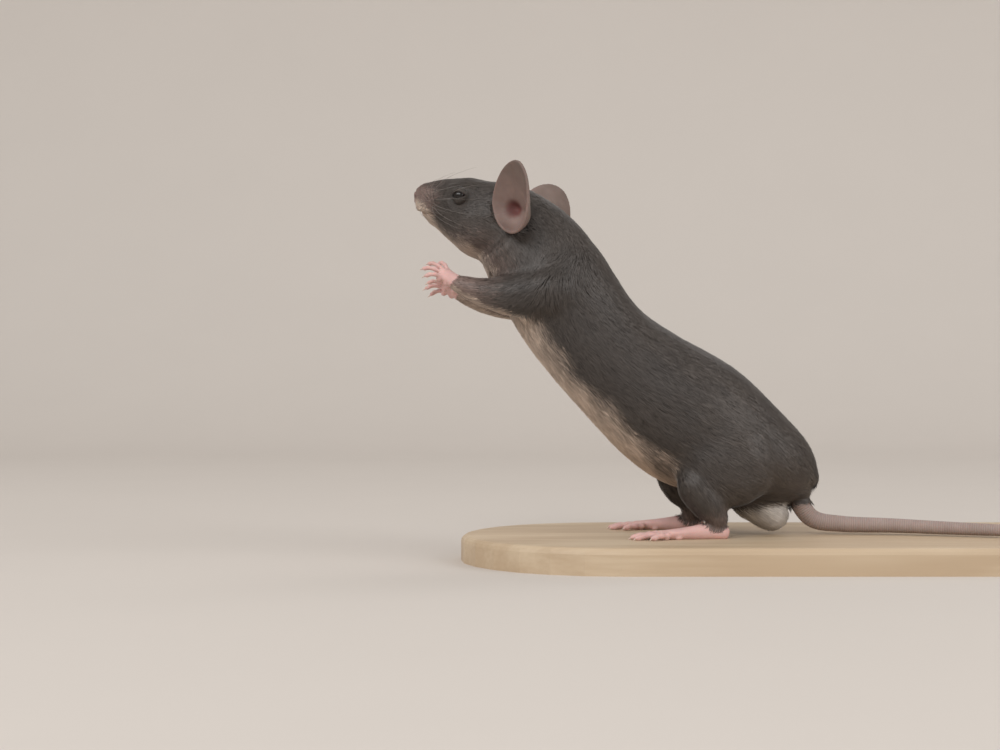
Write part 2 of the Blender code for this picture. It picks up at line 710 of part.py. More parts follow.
def add_base(wood):
    """A flat plinth with round ends and an eased top edge."""
    bm = bmesh.new()
    radius = BASE_WIDTH / 2
    straight = BASE_LENGTH / 2 - radius
    outline = []
    for end in (1, -1):
        for step in range(BASE_CORNER_STEPS + 1):
            angle = math.pi * (step / BASE_CORNER_STEPS - 0.5)
            outline.append((end * (straight + radius * math.cos(angle)), end * radius * math.sin(angle)))
    loop = [bm.verts.new(Vector((x, y, 0.0)) * MM) for x, y in outline]
    bottom = bm.faces.new(loop)
    raised = bmesh.ops.extrude_face_region(bm, geom=[bottom])
    top = [v for v in raised["geom"] if isinstance(v, bmesh.types.BMVert)]
    bmesh.ops.translate(bm, verts=top, vec=(0.0, 0.0, BASE_THICK * MM))
    edges = [e for e in bm.edges if all(v in top for v in e.verts)]
    bmesh.ops.bevel(bm, geom=edges, offset=BASE_BEVEL * MM, segments=3, profile=0.5, affect="EDGES")
    bmesh.ops.recalc_face_normals(bm, faces=bm.faces)
    mesh = bpy.data.meshes.new("stand_base")
    bm.to_mesh(mesh)
    bm.free()
    mesh.materials.append(wood)
    shade(mesh)
    add_object("stand_base", mesh)


def main():
    clear_scene()
    skins = {name: material(name) for name in COLOURS}
    flesh = flesh_mesh()
    core = part_limbs(flesh, skins)
    sockets = [
        ball_cutter(f"socket_{name}", eye_centre(side), EYE_RADIUS + CUT) for name, side in SIDES.items()
    ]
    part_core(core, skins["coat_dark"], sockets)
    add_eyes(skins["eye"])
    add_ears(skins["ear_skin"], flesh)
    add_tail(skins["tail_skin"])
    add_base(skins["wood"])


if __name__ == "__main__":
    main()
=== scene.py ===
"""The looks of the house mouse figure: skin, coat, eyes, claws, whiskers, base and stage.

Body places and sizes are in millimetres: x along the ground towards the tail, y across
towards the mouse's right and z above the base's top. Properties are in metres.
"""

import json
import math

import bmesh
import bpy
import numpy as np
from bpy.props import FloatProperty, FloatVectorProperty, IntProperty, PointerProperty
from bpy.types import Operator, Panel, PropertyGroup
from mathutils import Matrix, Vector
from mathutils.bvhtree import BVHTree

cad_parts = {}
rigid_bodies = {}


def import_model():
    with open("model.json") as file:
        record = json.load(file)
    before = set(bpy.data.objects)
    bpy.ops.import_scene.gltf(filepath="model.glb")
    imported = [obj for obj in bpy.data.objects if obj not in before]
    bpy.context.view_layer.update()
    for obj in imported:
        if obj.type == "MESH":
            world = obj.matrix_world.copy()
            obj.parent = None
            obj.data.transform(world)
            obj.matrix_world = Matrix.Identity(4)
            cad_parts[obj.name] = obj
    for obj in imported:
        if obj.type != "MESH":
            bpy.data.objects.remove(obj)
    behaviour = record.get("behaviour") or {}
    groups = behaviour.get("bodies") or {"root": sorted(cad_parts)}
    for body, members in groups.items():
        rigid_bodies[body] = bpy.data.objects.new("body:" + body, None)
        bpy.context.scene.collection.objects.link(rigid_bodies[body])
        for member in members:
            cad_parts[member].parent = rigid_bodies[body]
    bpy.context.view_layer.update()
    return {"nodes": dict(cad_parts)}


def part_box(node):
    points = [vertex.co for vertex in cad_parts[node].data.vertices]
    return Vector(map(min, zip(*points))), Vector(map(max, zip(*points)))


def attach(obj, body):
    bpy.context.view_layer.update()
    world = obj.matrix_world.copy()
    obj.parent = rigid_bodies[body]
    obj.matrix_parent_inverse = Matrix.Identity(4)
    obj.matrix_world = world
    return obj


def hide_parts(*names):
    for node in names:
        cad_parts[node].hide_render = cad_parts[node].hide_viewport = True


for leftover in list(bpy.data.objects):  # such as the start-up cube
    bpy.data.objects.remove(leftover)

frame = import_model()

bl_info = {
    "name": "House Mouse Figure",
    "version": (1, 0, 0),
    "blender": (4, 5, 0),
    "location": "View3D > Sidebar > Mouse",
    "description": "Builds the skin, coat, eyes, claws, whiskers, base and stage of a life-size house mouse",
    "category": "Add Mesh",
}

# --- places ---------------------------------------------------------------------------
MM = 0.001
BASE_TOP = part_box("stand_base")[1].z / MM
BODY_ORIGIN = np.array((-29.0, 0.0, BASE_TOP))  # where the body's own zero lies in the frame
SIDES = {"left": -1, "right": 1}

SKULL_PIVOT = np.array((-28.5, 0.0, 58.0))
HEAD_YAW = math.radians(15)  # how far the nose turns towards the mouse's right

# Guide lines from nose to tail root. Each row: x, z, radius, hair length, depth of the coat,
# and how far down the side, as a share of the radius, the pale underside starts.
HEAD_LINE = {
    "nose_tip": (-54.2, 65.7, 1.2, 0.3, 0.0, 0.1),
    "nostrils": (-53.3, 65.6, 2.3, 0.4, 0.03, 0.25),
    "whisker_pads": (-51.4, 65.2, 3.3, 0.6, 0.10, 0.35),
    "bridge": (-48.6, 64.4, 4.6, 1.0, 0.22, 0.55),
    "eyes": (-44.8, 63.0, 6.3, 1.5, 0.36, 0.84),
    "cheeks": (-40.6, 61.8, 7.5, 2.1, 0.45, 0.98),
    "ears": (-35.6, 60.6, 7.6, 2.7, 0.50, 1.02),
}
BODY_LINE = {
    "neck": (-29.4, 54.0, 9.9, 3.4, 0.65, 0.93),
    "shoulders": (-26.0, 48.3, 10.8, 4.0, 0.75, 0.88),
    "chest": (-21.9, 42.1, 10.8, 4.2, 0.80, 0.81),
    "ribs": (-16.5, 35.7, 10.8, 4.4, 0.80, 0.79),
    "waist": (-9.6, 29.9, 11.8, 4.6, 0.80, 0.79),
    "belly": (-3.5, 25.1, 13.0, 4.8, 0.85, 0.87),
    "loins": (2.5, 21.0, 13.1, 5.0, 0.90, 1.02),
    "hips": (9.6, 16.4, 11.3, 5.2, 0.90, 1.25),
    "rump": (17.2, 12.0, 8.2, 4.6, 0.80, 1.60),
    "tail_root": (21.8, 8.8, 4.1, 2.6, 0.35, 2.00),
}
# Each leg row: x, distance from the middle plane, z, radius, hair length, coat depth, pale from
FORELEG = {
    "left": (
        (-25.4, 6.2, 52.4, 6.2, 4.0, 0.75, 0.80),
        (-30.4, 7.0, 46.8, 5.2, 3.4, 0.62, 0.72),
        (-34.6, 7.0, 45.6, 4.0, 2.8, 0.50, 0.62),
        (-40.6, 5.8, 46.4, 2.6, 1.7, 0.28, 0.50),
        (-44.8, 4.8, 48.1, 1.7, 0.9, 0.06, 0.45),
    ),
    "right": (
        (-25.4, 6.2, 52.4, 6.2, 4.0, 0.75, 0.80),
        (-30.4, 7.0, 46.6, 5.2, 3.4, 0.62, 0.72),
        (-34.4, 6.8, 45.2, 4.0, 2.8, 0.50, 0.62),
        (-40.2, 5.6, 45.4, 2.6, 1.7, 0.28, 0.50),
        (-44.2, 4.6, 46.5, 1.7, 0.9, 0.06, 0.45),
    ),
}
SHANK = (
    (0.4, 9.2, 10.0, 4.2, 3.6, 0.70, 1.40),
    (2.4, 9.7, 6.6, 3.5, 2.4, 0.50, 2.00),
    (3.8, 9.8, 3.4, 2.3, 1.2, 0.15, 2.00),
)
POUCH = ((11.4, 0.0, 7.4, 4.5, 2.4, 0.50, 3.0), (15.7, 0.0, 3.9, 3.5, 2.0, 0.40, 3.0))
ANKLE_DROP, ANKLE_RADII = 0.2, (2.3, 2.15, 2.2)
# Round bodies that keep the rump's corner and the seat full: middle, then radii
RUMP = (
    ((11.0, 0.0, 10.4), (5.0, 5.6, 4.5)),
    ((15.0, 0.0, 10.4), (5.0, 5.2, 4.5)),
    ((18.8, 0.0, 10.3), (4.4, 4.4, 4.4)),
    ((21.0, 0.0, 11.6), (3.9, 3.6, 3.6)),
    ((20.0, 0.0, 8.5), (3.5, 3.0, 3.2)),
)
HAND_FORWARD = {"left": (-0.80, -0.06, 0.62), "right": (-0.92, -0.06, 0.38)}
HAND_DORSAL = (-0.35, 0.35, 0.90)
PALM_LENGTH = 3.2
PALM_HALF_WIDTH = 1.7
# The palm's pads: shares of its length and half width, then the radius
PALM_PADS = ((0.45, -0.55, 0.75), (0.45, 0.6, 0.7), (0.95, -0.85, 0.6), (1.0, 0.0, 0.62), (0.95, 0.85, 0.6))
FINGERS = ((-34, 3.1), (-11, 3.9), (11, 3.9), (36, 3.2))  # spread in degrees, length
FINGER_RADIUS = 0.46
FINGER_CURL = 0.42  # radians at each finger joint
FOOT_HEEL = (4.9, 9.8, 1.5)
FOOT_STEP = {"left": 0.0, "right": -2.6}
FOOT_TURN = math.radians(8)
FOOT_LENGTH = 18.6
TOES = ((-30, 3.7), (-11, 5.3), (1, 5.6), (13, 5.3), (34, 3.9))
TOE_RADIUS = 0.56
TOE_CURL = 0.1
# The sole's pads: how far before the ball of the foot and aside of it
SOLE_PADS = ((-0.4, -1.5), (0.6, -0.6), (0.6, 0.6), (-0.4, 1.5), (-3.4, 0.8), (-3.0, -0.9))
# A digit's bones: share of its length, bends before it, and its waist and knuckle as shares of its radius
DIGIT_BONES = ((0.42, 0, 0.88, 1.04), (0.33, 1, 0.82, 0.98), (0.25, 2, 0.84, 0.74))
SOLE_GAP = 0.3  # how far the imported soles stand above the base, which the skin closes
SOLE_LEVEL = 0.02  # how low the skin and the claws may come

EAR_AT = {"left": (-33.6, 9.3, 57.9), "right": (-33.0, 8.9, 57.8)}  # the lowest point of the rim
EAR_HEIGHT = 13.6
EAR_HALF_WIDTH = 6.0
EAR_THICK = 0.56
EAR_WIDEST = 0.38
EAR_DEPTH = 4.0
EAR_DEEPEST = 0.28
EAR_TIP = {"left": (0.29, 0.31, 0.905), "right": (0.34, 0.60, 0.72)}
EAR_OPENS = {"left": (-0.66, 0.75, 0.0), "right": (-0.72, 0.58, -0.1)}
EAR_CANAL = (0.24, -0.45)  # share of the height, share of the width
CANAL_DEEP, CANAL_RADIUS = 0.9, 1.3
EAR_GRID = 36  # faces along and across the ear
HAIRLESS_EAR = 0.35  # no hair grows, or ends, where the skin is an ear's by more than this share

# The eye: where it looks, and its slit's half width and half heights in degrees seen from its middle
EYE_GAZE = (-0.22, 0.94, 0.24)
EYE_SLIT = (0.97, 0.0, -0.05)
SLIT_HALF_WIDE, SLIT_ABOVE, SLIT_BELOW, SLIT_LOWERED = 62.0, 20.0, 23.0, 4.0
LID_BLEND = 0.5  # how softly the lids pass into the face
LID_FOLD = 0.05
EYE_FORWARD = 0.4  # how far the eyeball comes forward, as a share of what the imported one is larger
EYE_SINK = 0.5  # how far behind the eyeball's surface the open skin lies
# The cornea: the share of the radius where it starts, the share it takes up, and its height
CORNEA_FROM, CORNEA_SPAN, CORNEA_RISE = 0.55, 0.45, 0.12

NOSE_PAD, NOSE_PAD_RADII = (-53.9, 0.0, 65.35), (1.3, 1.25, 1.05)
# Each side's nostril: middle, radius and depth of its opening and of its wing
NOSTRILS = (((-53.75, 0.72, 65.3), 0.34, 0.55), ((-53.35, 1.12, 65.5), 0.26, 0.30))
MOUTH_AT, MOUTH_SLOPE = (-52.5, 62.3), -0.24  # x and z of a point on the mouth's line, and its slope

TAIL = (
    (17.4, 0.0, 11.2),
    (20.4, 0.0, 7.1),
    (23.5, -0.1, 3.2),
    (29.0, -0.6, 2.3),
    (38.5, -2.0, 2.1),
    (50.5, -5.4, 1.8),
    (64.5, -10.6, 1.6),
    (78.5, -15.6, 1.3),
    (91.5, -17.0, 0.9),
)
TAIL_ROOT_RADIUS = 2.05
TAIL_TIP_RADIUS = 0.5
TAIL_END = 0.994  # the skin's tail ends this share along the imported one
TAIL_RING = 0.42  # the distance between the tail's rings of scales

FURRED_NODES = (
    "head", "neck", "chest", "trunk", "hips", "scrotum",
    "foreleg_left", "foreleg_right", "hindleg_left", "hindleg_right",
)  # fmt: skip
BARE_NODES = (
    "forepaw_left", "forepaw_right", "hindpaw_left", "hindpaw_right",
    "ear_left", "ear_right", "tail_root", "tail_middle", "tail_tip",
)  # fmt: skip

# --- mesh sizes ---------------------------------------------------------------------
SWELL = 0.25  # closes the 0.3 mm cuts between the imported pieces
SKIN_VOXEL = 0.2
CLAW_ROWS, WHISKER_ROWS = 8, 14
ALL_EASE, BODY_EASE, PUSHED_EASE, EYE_EASE = 3, 24, 4, 40  # rounds of smoothing
LIE_ROUNDS, FADE_ROUNDS, MARK_ROUNDS = 90, 40, 6  # rounds of blurring
# How far round the eyes and round the front of the nose the skin's mesh is finer
FINE_EYE, FINE_NOSE, NOSE_FRONT = 3.2, 3.6, (-53.2, 0.0, 64.6)
SKIN_TRIANGLES = 190_000
LID_THICK = 0.20
SOCKET_RADIUS, SOCKET_BACK = 2.0, 0.62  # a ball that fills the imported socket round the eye
EYE_SHARE = 0.84  # the eyeball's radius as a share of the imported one's, which has the lids with it

# --- coat ---------------------------------------------------------------------------
# coat piece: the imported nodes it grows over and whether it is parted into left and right
COAT_PIECES = {
    "coat_head": (("head", "lids_left", "lids_right"), True),
    "coat_neck": (("neck",), False),
    "coat_chest": (("chest",), False),
    "coat_trunk": (("trunk",), True),
    "coat_hips": (("hips", "rump", "tail"), True),
    "coat_forelegs": (("foreleg_left", "foreleg_right", "forepaw_left", "forepaw_right"), False),
    "coat_hindlegs": (("hindleg_left", "hindleg_right", "ankles", "hindpaw_left", "hindpaw_right"), False),
    "coat_pouch": (("scrotum",), False),
}
GRID_CELLS = 8192  # along each axis of the grid that spaces the roots
TUFT_LIMIT = 19_900  # tufts in one piece, of ten triangles each
PATCH = 0.003  # a tuft's width on the unwrap
NORMAL_BLEND = 0.72  # how far a tuft is shaded like the body below it
TUFT_SUNK = 0.12  # how deep a tuft is rooted
TUFT_TURN = 0.7  # the least cosine between a tuft's two halves
RIPPLE_WAVES = 6
# Where hair stands out: middle, how far round and how much
LOOSE_SPOTS = (
    ((24.3, 0.0, 11.6), 3.6, 0.7),  # the rump's corner
    ((-28.5, 0.0, 64.5), 6.0, 0.3),  # the nape
    ((14.5, 0.0, 4.0), 6.0, 0.25),  # the pouch
)
SEAT = (18.0, 0.0, 5.6)  # the hair is short round this place under the tail
FACE_HAIRS = ((-46.6, 67.6, 9.0), (-46.0, 67.2, 7.0), (-38.5, 60.2, 8.0))  # brows and cheek: x, z, length
EYE_HAIR = 0.35  # the hair's length beside the eyes
CHART_WIDE, CHART_HIGH, CHART_EDGE = 0.31, 0.47, 0.01  # room and edge for each of the unwrap's six views
MARKS = ("buff", "pouch", "muzzle", "dark", "paw", "ear", "hollow", "canal", "tail", "nose", "lid", "ring")

# --- stage ----------------------------------------------------------------------------
# Lamps: name, place, width and height in metres, and the setting that holds the power
LAMPS = (
    ("key_light", (-0.55, -0.75, 0.75), 1.2, 0.4, "key"),
    ("fill_light", (0.8, -0.5, 0.45), 0.7, 0.6, "fill"),
    ("back_light", (0.3, 0.8, 0.9), 0.8, 0.8, "fill"),
)
CAMERA_AT = (-36.54, -350.0, 30.58)  # in body millimetres; it looks level along y
CAMERA_LENS, CAMERA_SENSOR = 65.52, 36.0


# --- small tools --------------------------------------------------------------------


def ramp(low, high, values):
    """0 below low, 1 above high and smooth between. low may be the greater one."""
    share = np.clip((values - low) / (high - low), 0.0, 1.0)
    return share * share * (3.0 - 2.0 * share)


def unit(vectors):
    length = np.linalg.norm(vectors, axis=-1, keepdims=True)
    return vectors / np.maximum(length, 1e-9)


def ripple(points, wavelength, seed):
    """Soft noise, mostly from -1 to 1, whose hills are about a wavelength apart."""
    rng = np.random.default_rng(seed)
    total = np.zeros(len(points))
    for _ in range(RIPPLE_WAVES):
        heading = unit(rng.normal(size=3)) * math.tau / (wavelength * rng.uniform(0.7, 1.5))
        total += np.sin(points @ heading + rng.uniform(0.0, math.tau))
    return total / math.sqrt(RIPPLE_WAVES)


def head_turn():
    """The turn of the head about the skull's pivot, as a matrix on body millimetres."""
    pivot = Matrix.Translation(SKULL_PIVOT)
    return pivot @ Matrix.Rotation(-HEAD_YAW, 4, "Z") @ pivot.inverted()


def head_place(x, y, z):
    """A place on the turned head, from its place on a head that looks straight ahead."""
    return head_turn() @ Vector((x, y, z))


def head_way(x, y, z):
    return (head_turn().to_3x3() @ Vector((x, y, z))).normalized()


def before_turn(points):
    """Places on the turned head, as they would be on a head that looks straight ahead."""
    turn = np.array(head_turn().inverted())
    return points @ turn[:3, :3].T + turn[:3, 3]


def on_side(place, name):
    """A place or way that is given for the right side, on the named side."""
    x, y, z = place
    return x, SIDES[name] * y, z


def stepped(place, name):
    """A place of a hind leg on the named side, moved by that foot's step."""
    x, y, z = place
    return on_side((x + FOOT_STEP[name], y, z), name)


def gap_to(points, place):
    return np.linalg.norm(points - place, axis=1)


def segment_shares(points, start, step):
    """How far along from start to start + step each point lies, from 0 to 1."""
    return np.clip((points - start) @ step / (step @ step), 0.0, 1.0)


def eye_place(name):
    """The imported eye's middle in body millimetres and its radius."""
    low, high = (np.array(corner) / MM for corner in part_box(f"eye_{name}"))
    return (low + high) / 2 - BODY_ORIGIN, float(high[0] - low[0]) / 2


def gap_to_eyes(points):
    return np.min([gap_to(points, eye_place(name)[0]) for name in SIDES], axis=0)


def link_object(name, data):
    made = bpy.data.objects.new(name, data)
    bpy.context.scene.collection.objects.link(made)
    return made


def to_frame(mesh):
    """Moves a mesh from body millimetres into the frame, in metres."""
    mesh.transform(Matrix.Scale(MM, 4) @ Matrix.Translation(BODY_ORIGIN))
    mesh.update()


def evaluated_mesh(obj):
    """The object's mesh with its modifiers applied. The object is removed."""
    graph = bpy.context.evaluated_depsgraph_get()
    mesh = bpy.data.meshes.new_from_object(obj.evaluated_get(graph))
    bpy.data.objects.remove(obj)
    return mesh


def finished_piece(name, mesh, material, replaces):
    """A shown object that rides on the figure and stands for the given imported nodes."""
    mesh.name = name
    made = link_object(name, mesh)
    mesh.materials.append(material)
    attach(made, "root")
    if replaces:
        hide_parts(*replaces)


def smooth_piece(name, mesh, material, replaces=()):
    """A smoothly shaded piece from a mesh in body millimetres."""
    to_frame(mesh)
    mesh.shade_smooth()
    finished_piece(name, mesh, material, replaces)


# --- node materials -----------------------------------------------------------------


class Value:
    """A node's output, with arithmetic that adds Math nodes to its material."""

    def __init__(self, finish, socket):
        self.finish = finish
        self.socket = socket

    def __add__(self, other):
        return self.finish.math("ADD", self, other)

    __radd__ = __add__

    def __sub__(self, other):
        return self.finish.math("SUBTRACT", self, other)

    def __rsub__(self, other):
        return self.finish.math("SUBTRACT", other, self)

    def __mul__(self, other):
        return self.finish.math("MULTIPLY", self, other)

    __rmul__ = __mul__

    def ramp(self, low, high):
        """0 below low, 1 above high and smooth between."""
        return self.finish.node(
            "ShaderNodeMapRange",
            {"interpolation_type": "SMOOTHSTEP"},
            {"Value": self, "From Min": low, "From Max": high},
        )


class Finish:
    """A node material under construction."""

    def __init__(self, name):
        self.material = bpy.data.materials.new(name)
        self.material.use_nodes = True
        self.tree = self.material.node_tree
        self.tree.nodes.clear()

    def node(self, kind, settings=None, inputs=None, output=0):
        """Adds a node: first its settings, then the values or links of its sockets."""
        made = self.tree.nodes.new(kind)
        for name, setting in (settings or {}).items():
            setattr(made, name, setting)
        for name, value in (inputs or {}).items():
            if isinstance(value, Value):
                self.tree.links.new(value.socket, made.inputs[name])
            else:
                made.inputs[name].default_value = value
        return Value(self, made.outputs[output]) if made.outputs else None

    def math(self, operation, *terms):
        return self.node("ShaderNodeMath", {"operation": operation}, dict(enumerate(terms)))

    def mix(self, share, a, b):
        """From colour a at 0 to colour b at 1."""
        settings = {"data_type": "RGBA", "clamp_factor": True}
        return self.node("ShaderNodeMix", settings, {0: share, 6: a, 7: b}, output=2)

    def scaled(self, colour, factor):
        """The colour made lighter or darker."""
        colour = colour if isinstance(colour, Value) else colour[:3]
        return self.node("ShaderNodeVectorMath", {"operation": "SCALE"}, {0: colour, "Scale": factor})

    def mark(self, name):
        """A value painted on the mesh."""
        settings = {"attribute_type": "GEOMETRY", "attribute_name": name}
        return self.node("ShaderNodeAttribute", settings, output="Fac")

    def place(self):
        return self.node("ShaderNodeTexCoord", output="Object")

    def noise(self, size, detail=2.0, stretch=None):
        """Noise with hills about size across, in metres, and stretched if three factors are given."""
        place = self.place()
        if stretch:
            place = self.node("ShaderNodeVectorMath", {"operation": "MULTIPLY"}, {0: place, 1: stretch})
        return self.node(
            "ShaderNodeTexNoise", None, {"Vector": place, "Scale": 1.0 / size, "Detail": detail}, output="Fac"
        )

    def bump(self, height, depth, strength):
        """A normal from a height of 0 to 1 that stands for a depth in metres."""
        inputs = {"Height": height, "Distance": depth, "Strength": strength}
        return self.node("ShaderNodeBump", None, inputs, output="Normal")

    def finished(self, **sockets):
        """Puts the shader's sockets, named with _ for spaces, and returns the material."""
        inputs = {name.replace("_", " "): value for name, value in sockets.items()}
        shader = self.node("ShaderNodeBsdfPrincipled", None, inputs)
        self.node("ShaderNodeOutputMaterial", None, {"Surface": shader})
        return self.material


def colour_property(name, description, default):
    return FloatVectorProperty(
        name=name, description=description, subtype="COLOR", size=3, min=0.0, max=1.0, default=default
    )


def length_property(name, description, default):
    return FloatProperty(
        name=name,
        description=description,
        subtype="DISTANCE",
        unit="LENGTH",
        min=0.0,
        default=default,
        precision=5,
    )


class MouseColours(PropertyGroup):
    """Colours of coat, skin, eyes and base, as linear values."""

    coat_dark: colour_property("Dark coat", "Back, sides and top of the head", (0.066, 0.056, 0.051))
    coat_brown: colour_property("Brown tint", "Warm tint of some hair tips", (0.115, 0.088, 0.068))
    coat_buff: colour_property("Buff underside", "Chin, throat, chest and belly", (0.64, 0.505, 0.41))
    coat_pouch: colour_property("Pale pouch", "Fur of the scrotum", (0.56, 0.51, 0.465))
    muzzle: colour_property("Muzzle", "Thin fur of the muzzle", (0.225, 0.155, 0.132))
    nose: colour_property("Nose", "Bare nose and lips", (0.22, 0.14, 0.122))
    paw: colour_property("Paws", "Bare skin of hands and feet", (0.62, 0.39, 0.36))
    ear: colour_property("Ear", "Back and rims of the ears", (0.165, 0.118, 0.100))
    ear_hollow: colour_property("Ear hollow", "Inside of the ears", (0.215, 0.148, 0.128))
    # the canal's red, darkened as painted shade in its depth
    ear_canal: colour_property("Ear canal", "Depth of the ears", (0.120, 0.042, 0.037))
    tail: colour_property("Tail", "Scaly skin of the tail", (0.315, 0.240, 0.215))
    eye: colour_property("Eye", "Dark iris and pupil", (0.006, 0.005, 0.005))
    claw: colour_property("Claws", "Horn of the claws", (0.62, 0.47, 0.40))
    whisker: colour_property("Whiskers", "Long stiff hairs", (0.17, 0.15, 0.135))
    wood: colour_property("Wood", "Light wood of the base", (0.60, 0.48, 0.34))
    wood_grain: colour_property("Wood grain", "Darker grain of the base", (0.42, 0.30, 0.19))


class MouseCoat(PropertyGroup):
    """How the coat's tufts are sized and set."""

    length: FloatProperty(name="Length", description="Share of the usual hair length", default=1.0, min=0.2)
    tuft_width: length_property("Tuft width", "Width of a tuft on the body", 0.00020)
    body_spacing: length_property("Body spacing", "Distance between roots on the body", 0.00025)
    head_spacing: length_property("Head spacing", "Distance between roots on the head", 0.00020)
    seed: IntProperty(name="Seed", description="Start of the random draws", default=7)


class MouseStage(PropertyGroup):
    """Backdrop and lights."""

    backdrop: colour_property("Backdrop", "Floor and wall", (0.595, 0.550, 0.510))
    key: FloatProperty(name="Key light", description="Main light's power, in watts", default=9.0, min=0.0)
    fill: FloatProperty(name="Fill light", description="Fill lights' power, in watts", default=4.0, min=0.0)
    sky: FloatProperty(name="Sky", description="Strength of the light from all round", default=0.5, min=0.0)


def rgba(colour):
    return (*colour, 1.0)


def hair_markings(finish):
    """The coat's colour from its marks, the same for hair and for the skin below it."""
    colours = bpy.context.scene.mouse_colours
    patches = finish.noise(0.007, 3.0)
    colour = finish.mix(patches * 0.35, rgba(colours.coat_dark), rgba(colours.coat_brown))
    # painted shade: the dark mark darkens the lower flanks by up to a quarter
    colour = finish.scaled(colour, 1.0 - 0.26 * finish.mark("dark"))
    colour = finish.mix(finish.mark("muzzle"), colour, rgba(colours.muzzle))
    colour = finish.mix(finish.mark("buff"), colour, rgba(colours.coat_buff))
    return finish.mix(finish.mark("pouch"), colour, rgba(colours.coat_pouch))


def coat_finish():
    """Fur: each tuft has its own tone, darker at its root, with a brown tint towards some tips."""
    finish = Finish("mouse_coat")
    tone = finish.mark("tone")
    reach = finish.mark("reach")
    colour = hair_markings(finish)
    # tone holds each tuft's own random tone and also the painted sheen streaks
    shade = (0.6 + 0.4 * reach.ramp(0.0, 0.5)) * (0.68 + 0.64 * tone)
    return finish.finished(
        Base_Color=finish.scaled(colour, shade),
        Roughness=0.62 - 0.2 * reach,
        Specular_IOR_Level=0.4,
        Sheen_Weight=0.15,
        Sheen_Roughness=0.4,
    )


def skin_finish():
    """Skin: shaded fur ground under the coat, and bare ears, paws, nose and tail."""
    colours = bpy.context.scene.mouse_colours
    finish = Finish("mouse_skin")
    grain = finish.noise(0.0005, 3.0)
    blotches = finish.noise(0.0022, 2.0)
    colour = finish.scaled(hair_markings(finish), 0.62 + 0.3 * grain)
    ear = finish.mix(finish.mark("hollow"), rgba(colours.ear), rgba(colours.ear_hollow))
    # the canal: real red, darkened as painted shade in its depth
    ear = finish.mix(finish.mark("canal"), ear, rgba(colours.ear_canal))
    colour = finish.mix(finish.mark("ear"), colour, finish.scaled(ear, 0.75 + 0.5 * blotches))
    paw = finish.scaled(rgba(colours.paw), 0.82 + 0.36 * blotches)
    colour = finish.mix(finish.mark("paw"), colour, paw)
    rings = finish.math("SINE", finish.mark("ring") * math.tau)
    tail = finish.scaled(rgba(colours.tail), 0.86 + 0.3 * blotches - 0.08 * rings)
    colour = finish.mix(finish.mark("tail"), colour, tail)
    colour = finish.mix(finish.mark("nose"), colour, rgba(colours.nose))
    # near-black: the lid rims' own dark colour, and painted shade in the nostrils' openings
    colour = finish.mix(finish.mark("lid"), colour, (0.018, 0.014, 0.013, 1.0))
    height = grain * 0.5 + rings * finish.mark("tail") * 0.5
    return finish.finished(
        Base_Color=colour,
        Roughness=0.55 + 0.2 * grain,
        Normal=finish.bump(height, 0.00008, 0.8),
        Subsurface_Weight=0.12,
        Subsurface_Scale=0.0008,
        Specular_IOR_Level=0.35,
    )


def eye_finish():
    colours = bpy.context.scene.mouse_colours
    finish = Finish("mouse_eye")
    tint = finish.noise(0.0012)
    colour = finish.mix(tint * 0.5, rgba(colours.eye), (0.02, 0.011, 0.007, 1.0))
    return finish.finished(Base_Color=colour, Roughness=0.05 + 0.04 * tint, Specular_IOR_Level=0.4)


def horn_finish(name, colour):
    """Claws and whiskers: horn that is a little streaky."""
    finish = Finish(name)
    streaks = finish.noise(0.0003, 2.0)
    tinted = finish.scaled(rgba(colour), 0.8 + 0.4 * streaks)
    return finish.finished(Base_Color=tinted, Roughness=0.32 + 0.12 * streaks)


def wood_finish():
    """Light wood, with its grain along the base and a thin satin varnish."""
    colours = bpy.context.scene.mouse_colours
    finish = Finish("base_wood")
    bands = finish.noise(0.009, 3.0, stretch=(0.14, 1.0, 0.6))
    fibres = finish.noise(0.0008, 3.0, stretch=(0.05, 1.0, 1.0))
    wave = finish.math("SINE", bands * 13.2 + fibres * 1.5)
    colour = finish.mix(0.35 + 0.25 * wave + 0.25 * fibres, rgba(colours.wood), rgba(colours.wood_grain))
    return finish.finished(
        Base_Color=colour,
        Roughness=0.42 + 0.2 * fibres,
        Normal=finish.bump(fibres, 0.00006, 0.5),
        Coat_Roughness=0.3,
    )


def backdrop_finish():
    finish = Finish("backdrop")
    mottle = finish.noise(0.05, 3.0)
    colour = finish.scaled(rgba(bpy.context.scene.mouse_stage.backdrop), 0.985 + 0.03 * mottle)
    return finish.finished(Base_Color=colour, Roughness=0.9, Specular_IOR_Level=0.1)


# --- shapes in body millimetres -----------------------------------------------------


def spread_along(rows, count, start=0.0, end=1.0):
    """count rows on a smooth curve through the given ones (Catmull-Rom), evenly by their number."""
    last = len(rows) - 1
    found = []
    for i in range(count):
        place = (start + (end - start) * i / (count - 1)) * last
        k = min(int(place), last - 1)
        t = place - k
        before, a, b, after = (np.array(rows[max(0, min(last, k + n))]) for n in (-1, 0, 1, 2))
        bend = (2 * before - 5 * a + 4 * b - after) * t**2 + (3 * a - before - 3 * b + after) * t**3
        found.append(tuple(0.5 * (2 * a + (b - before) * t + bend)))
    return found


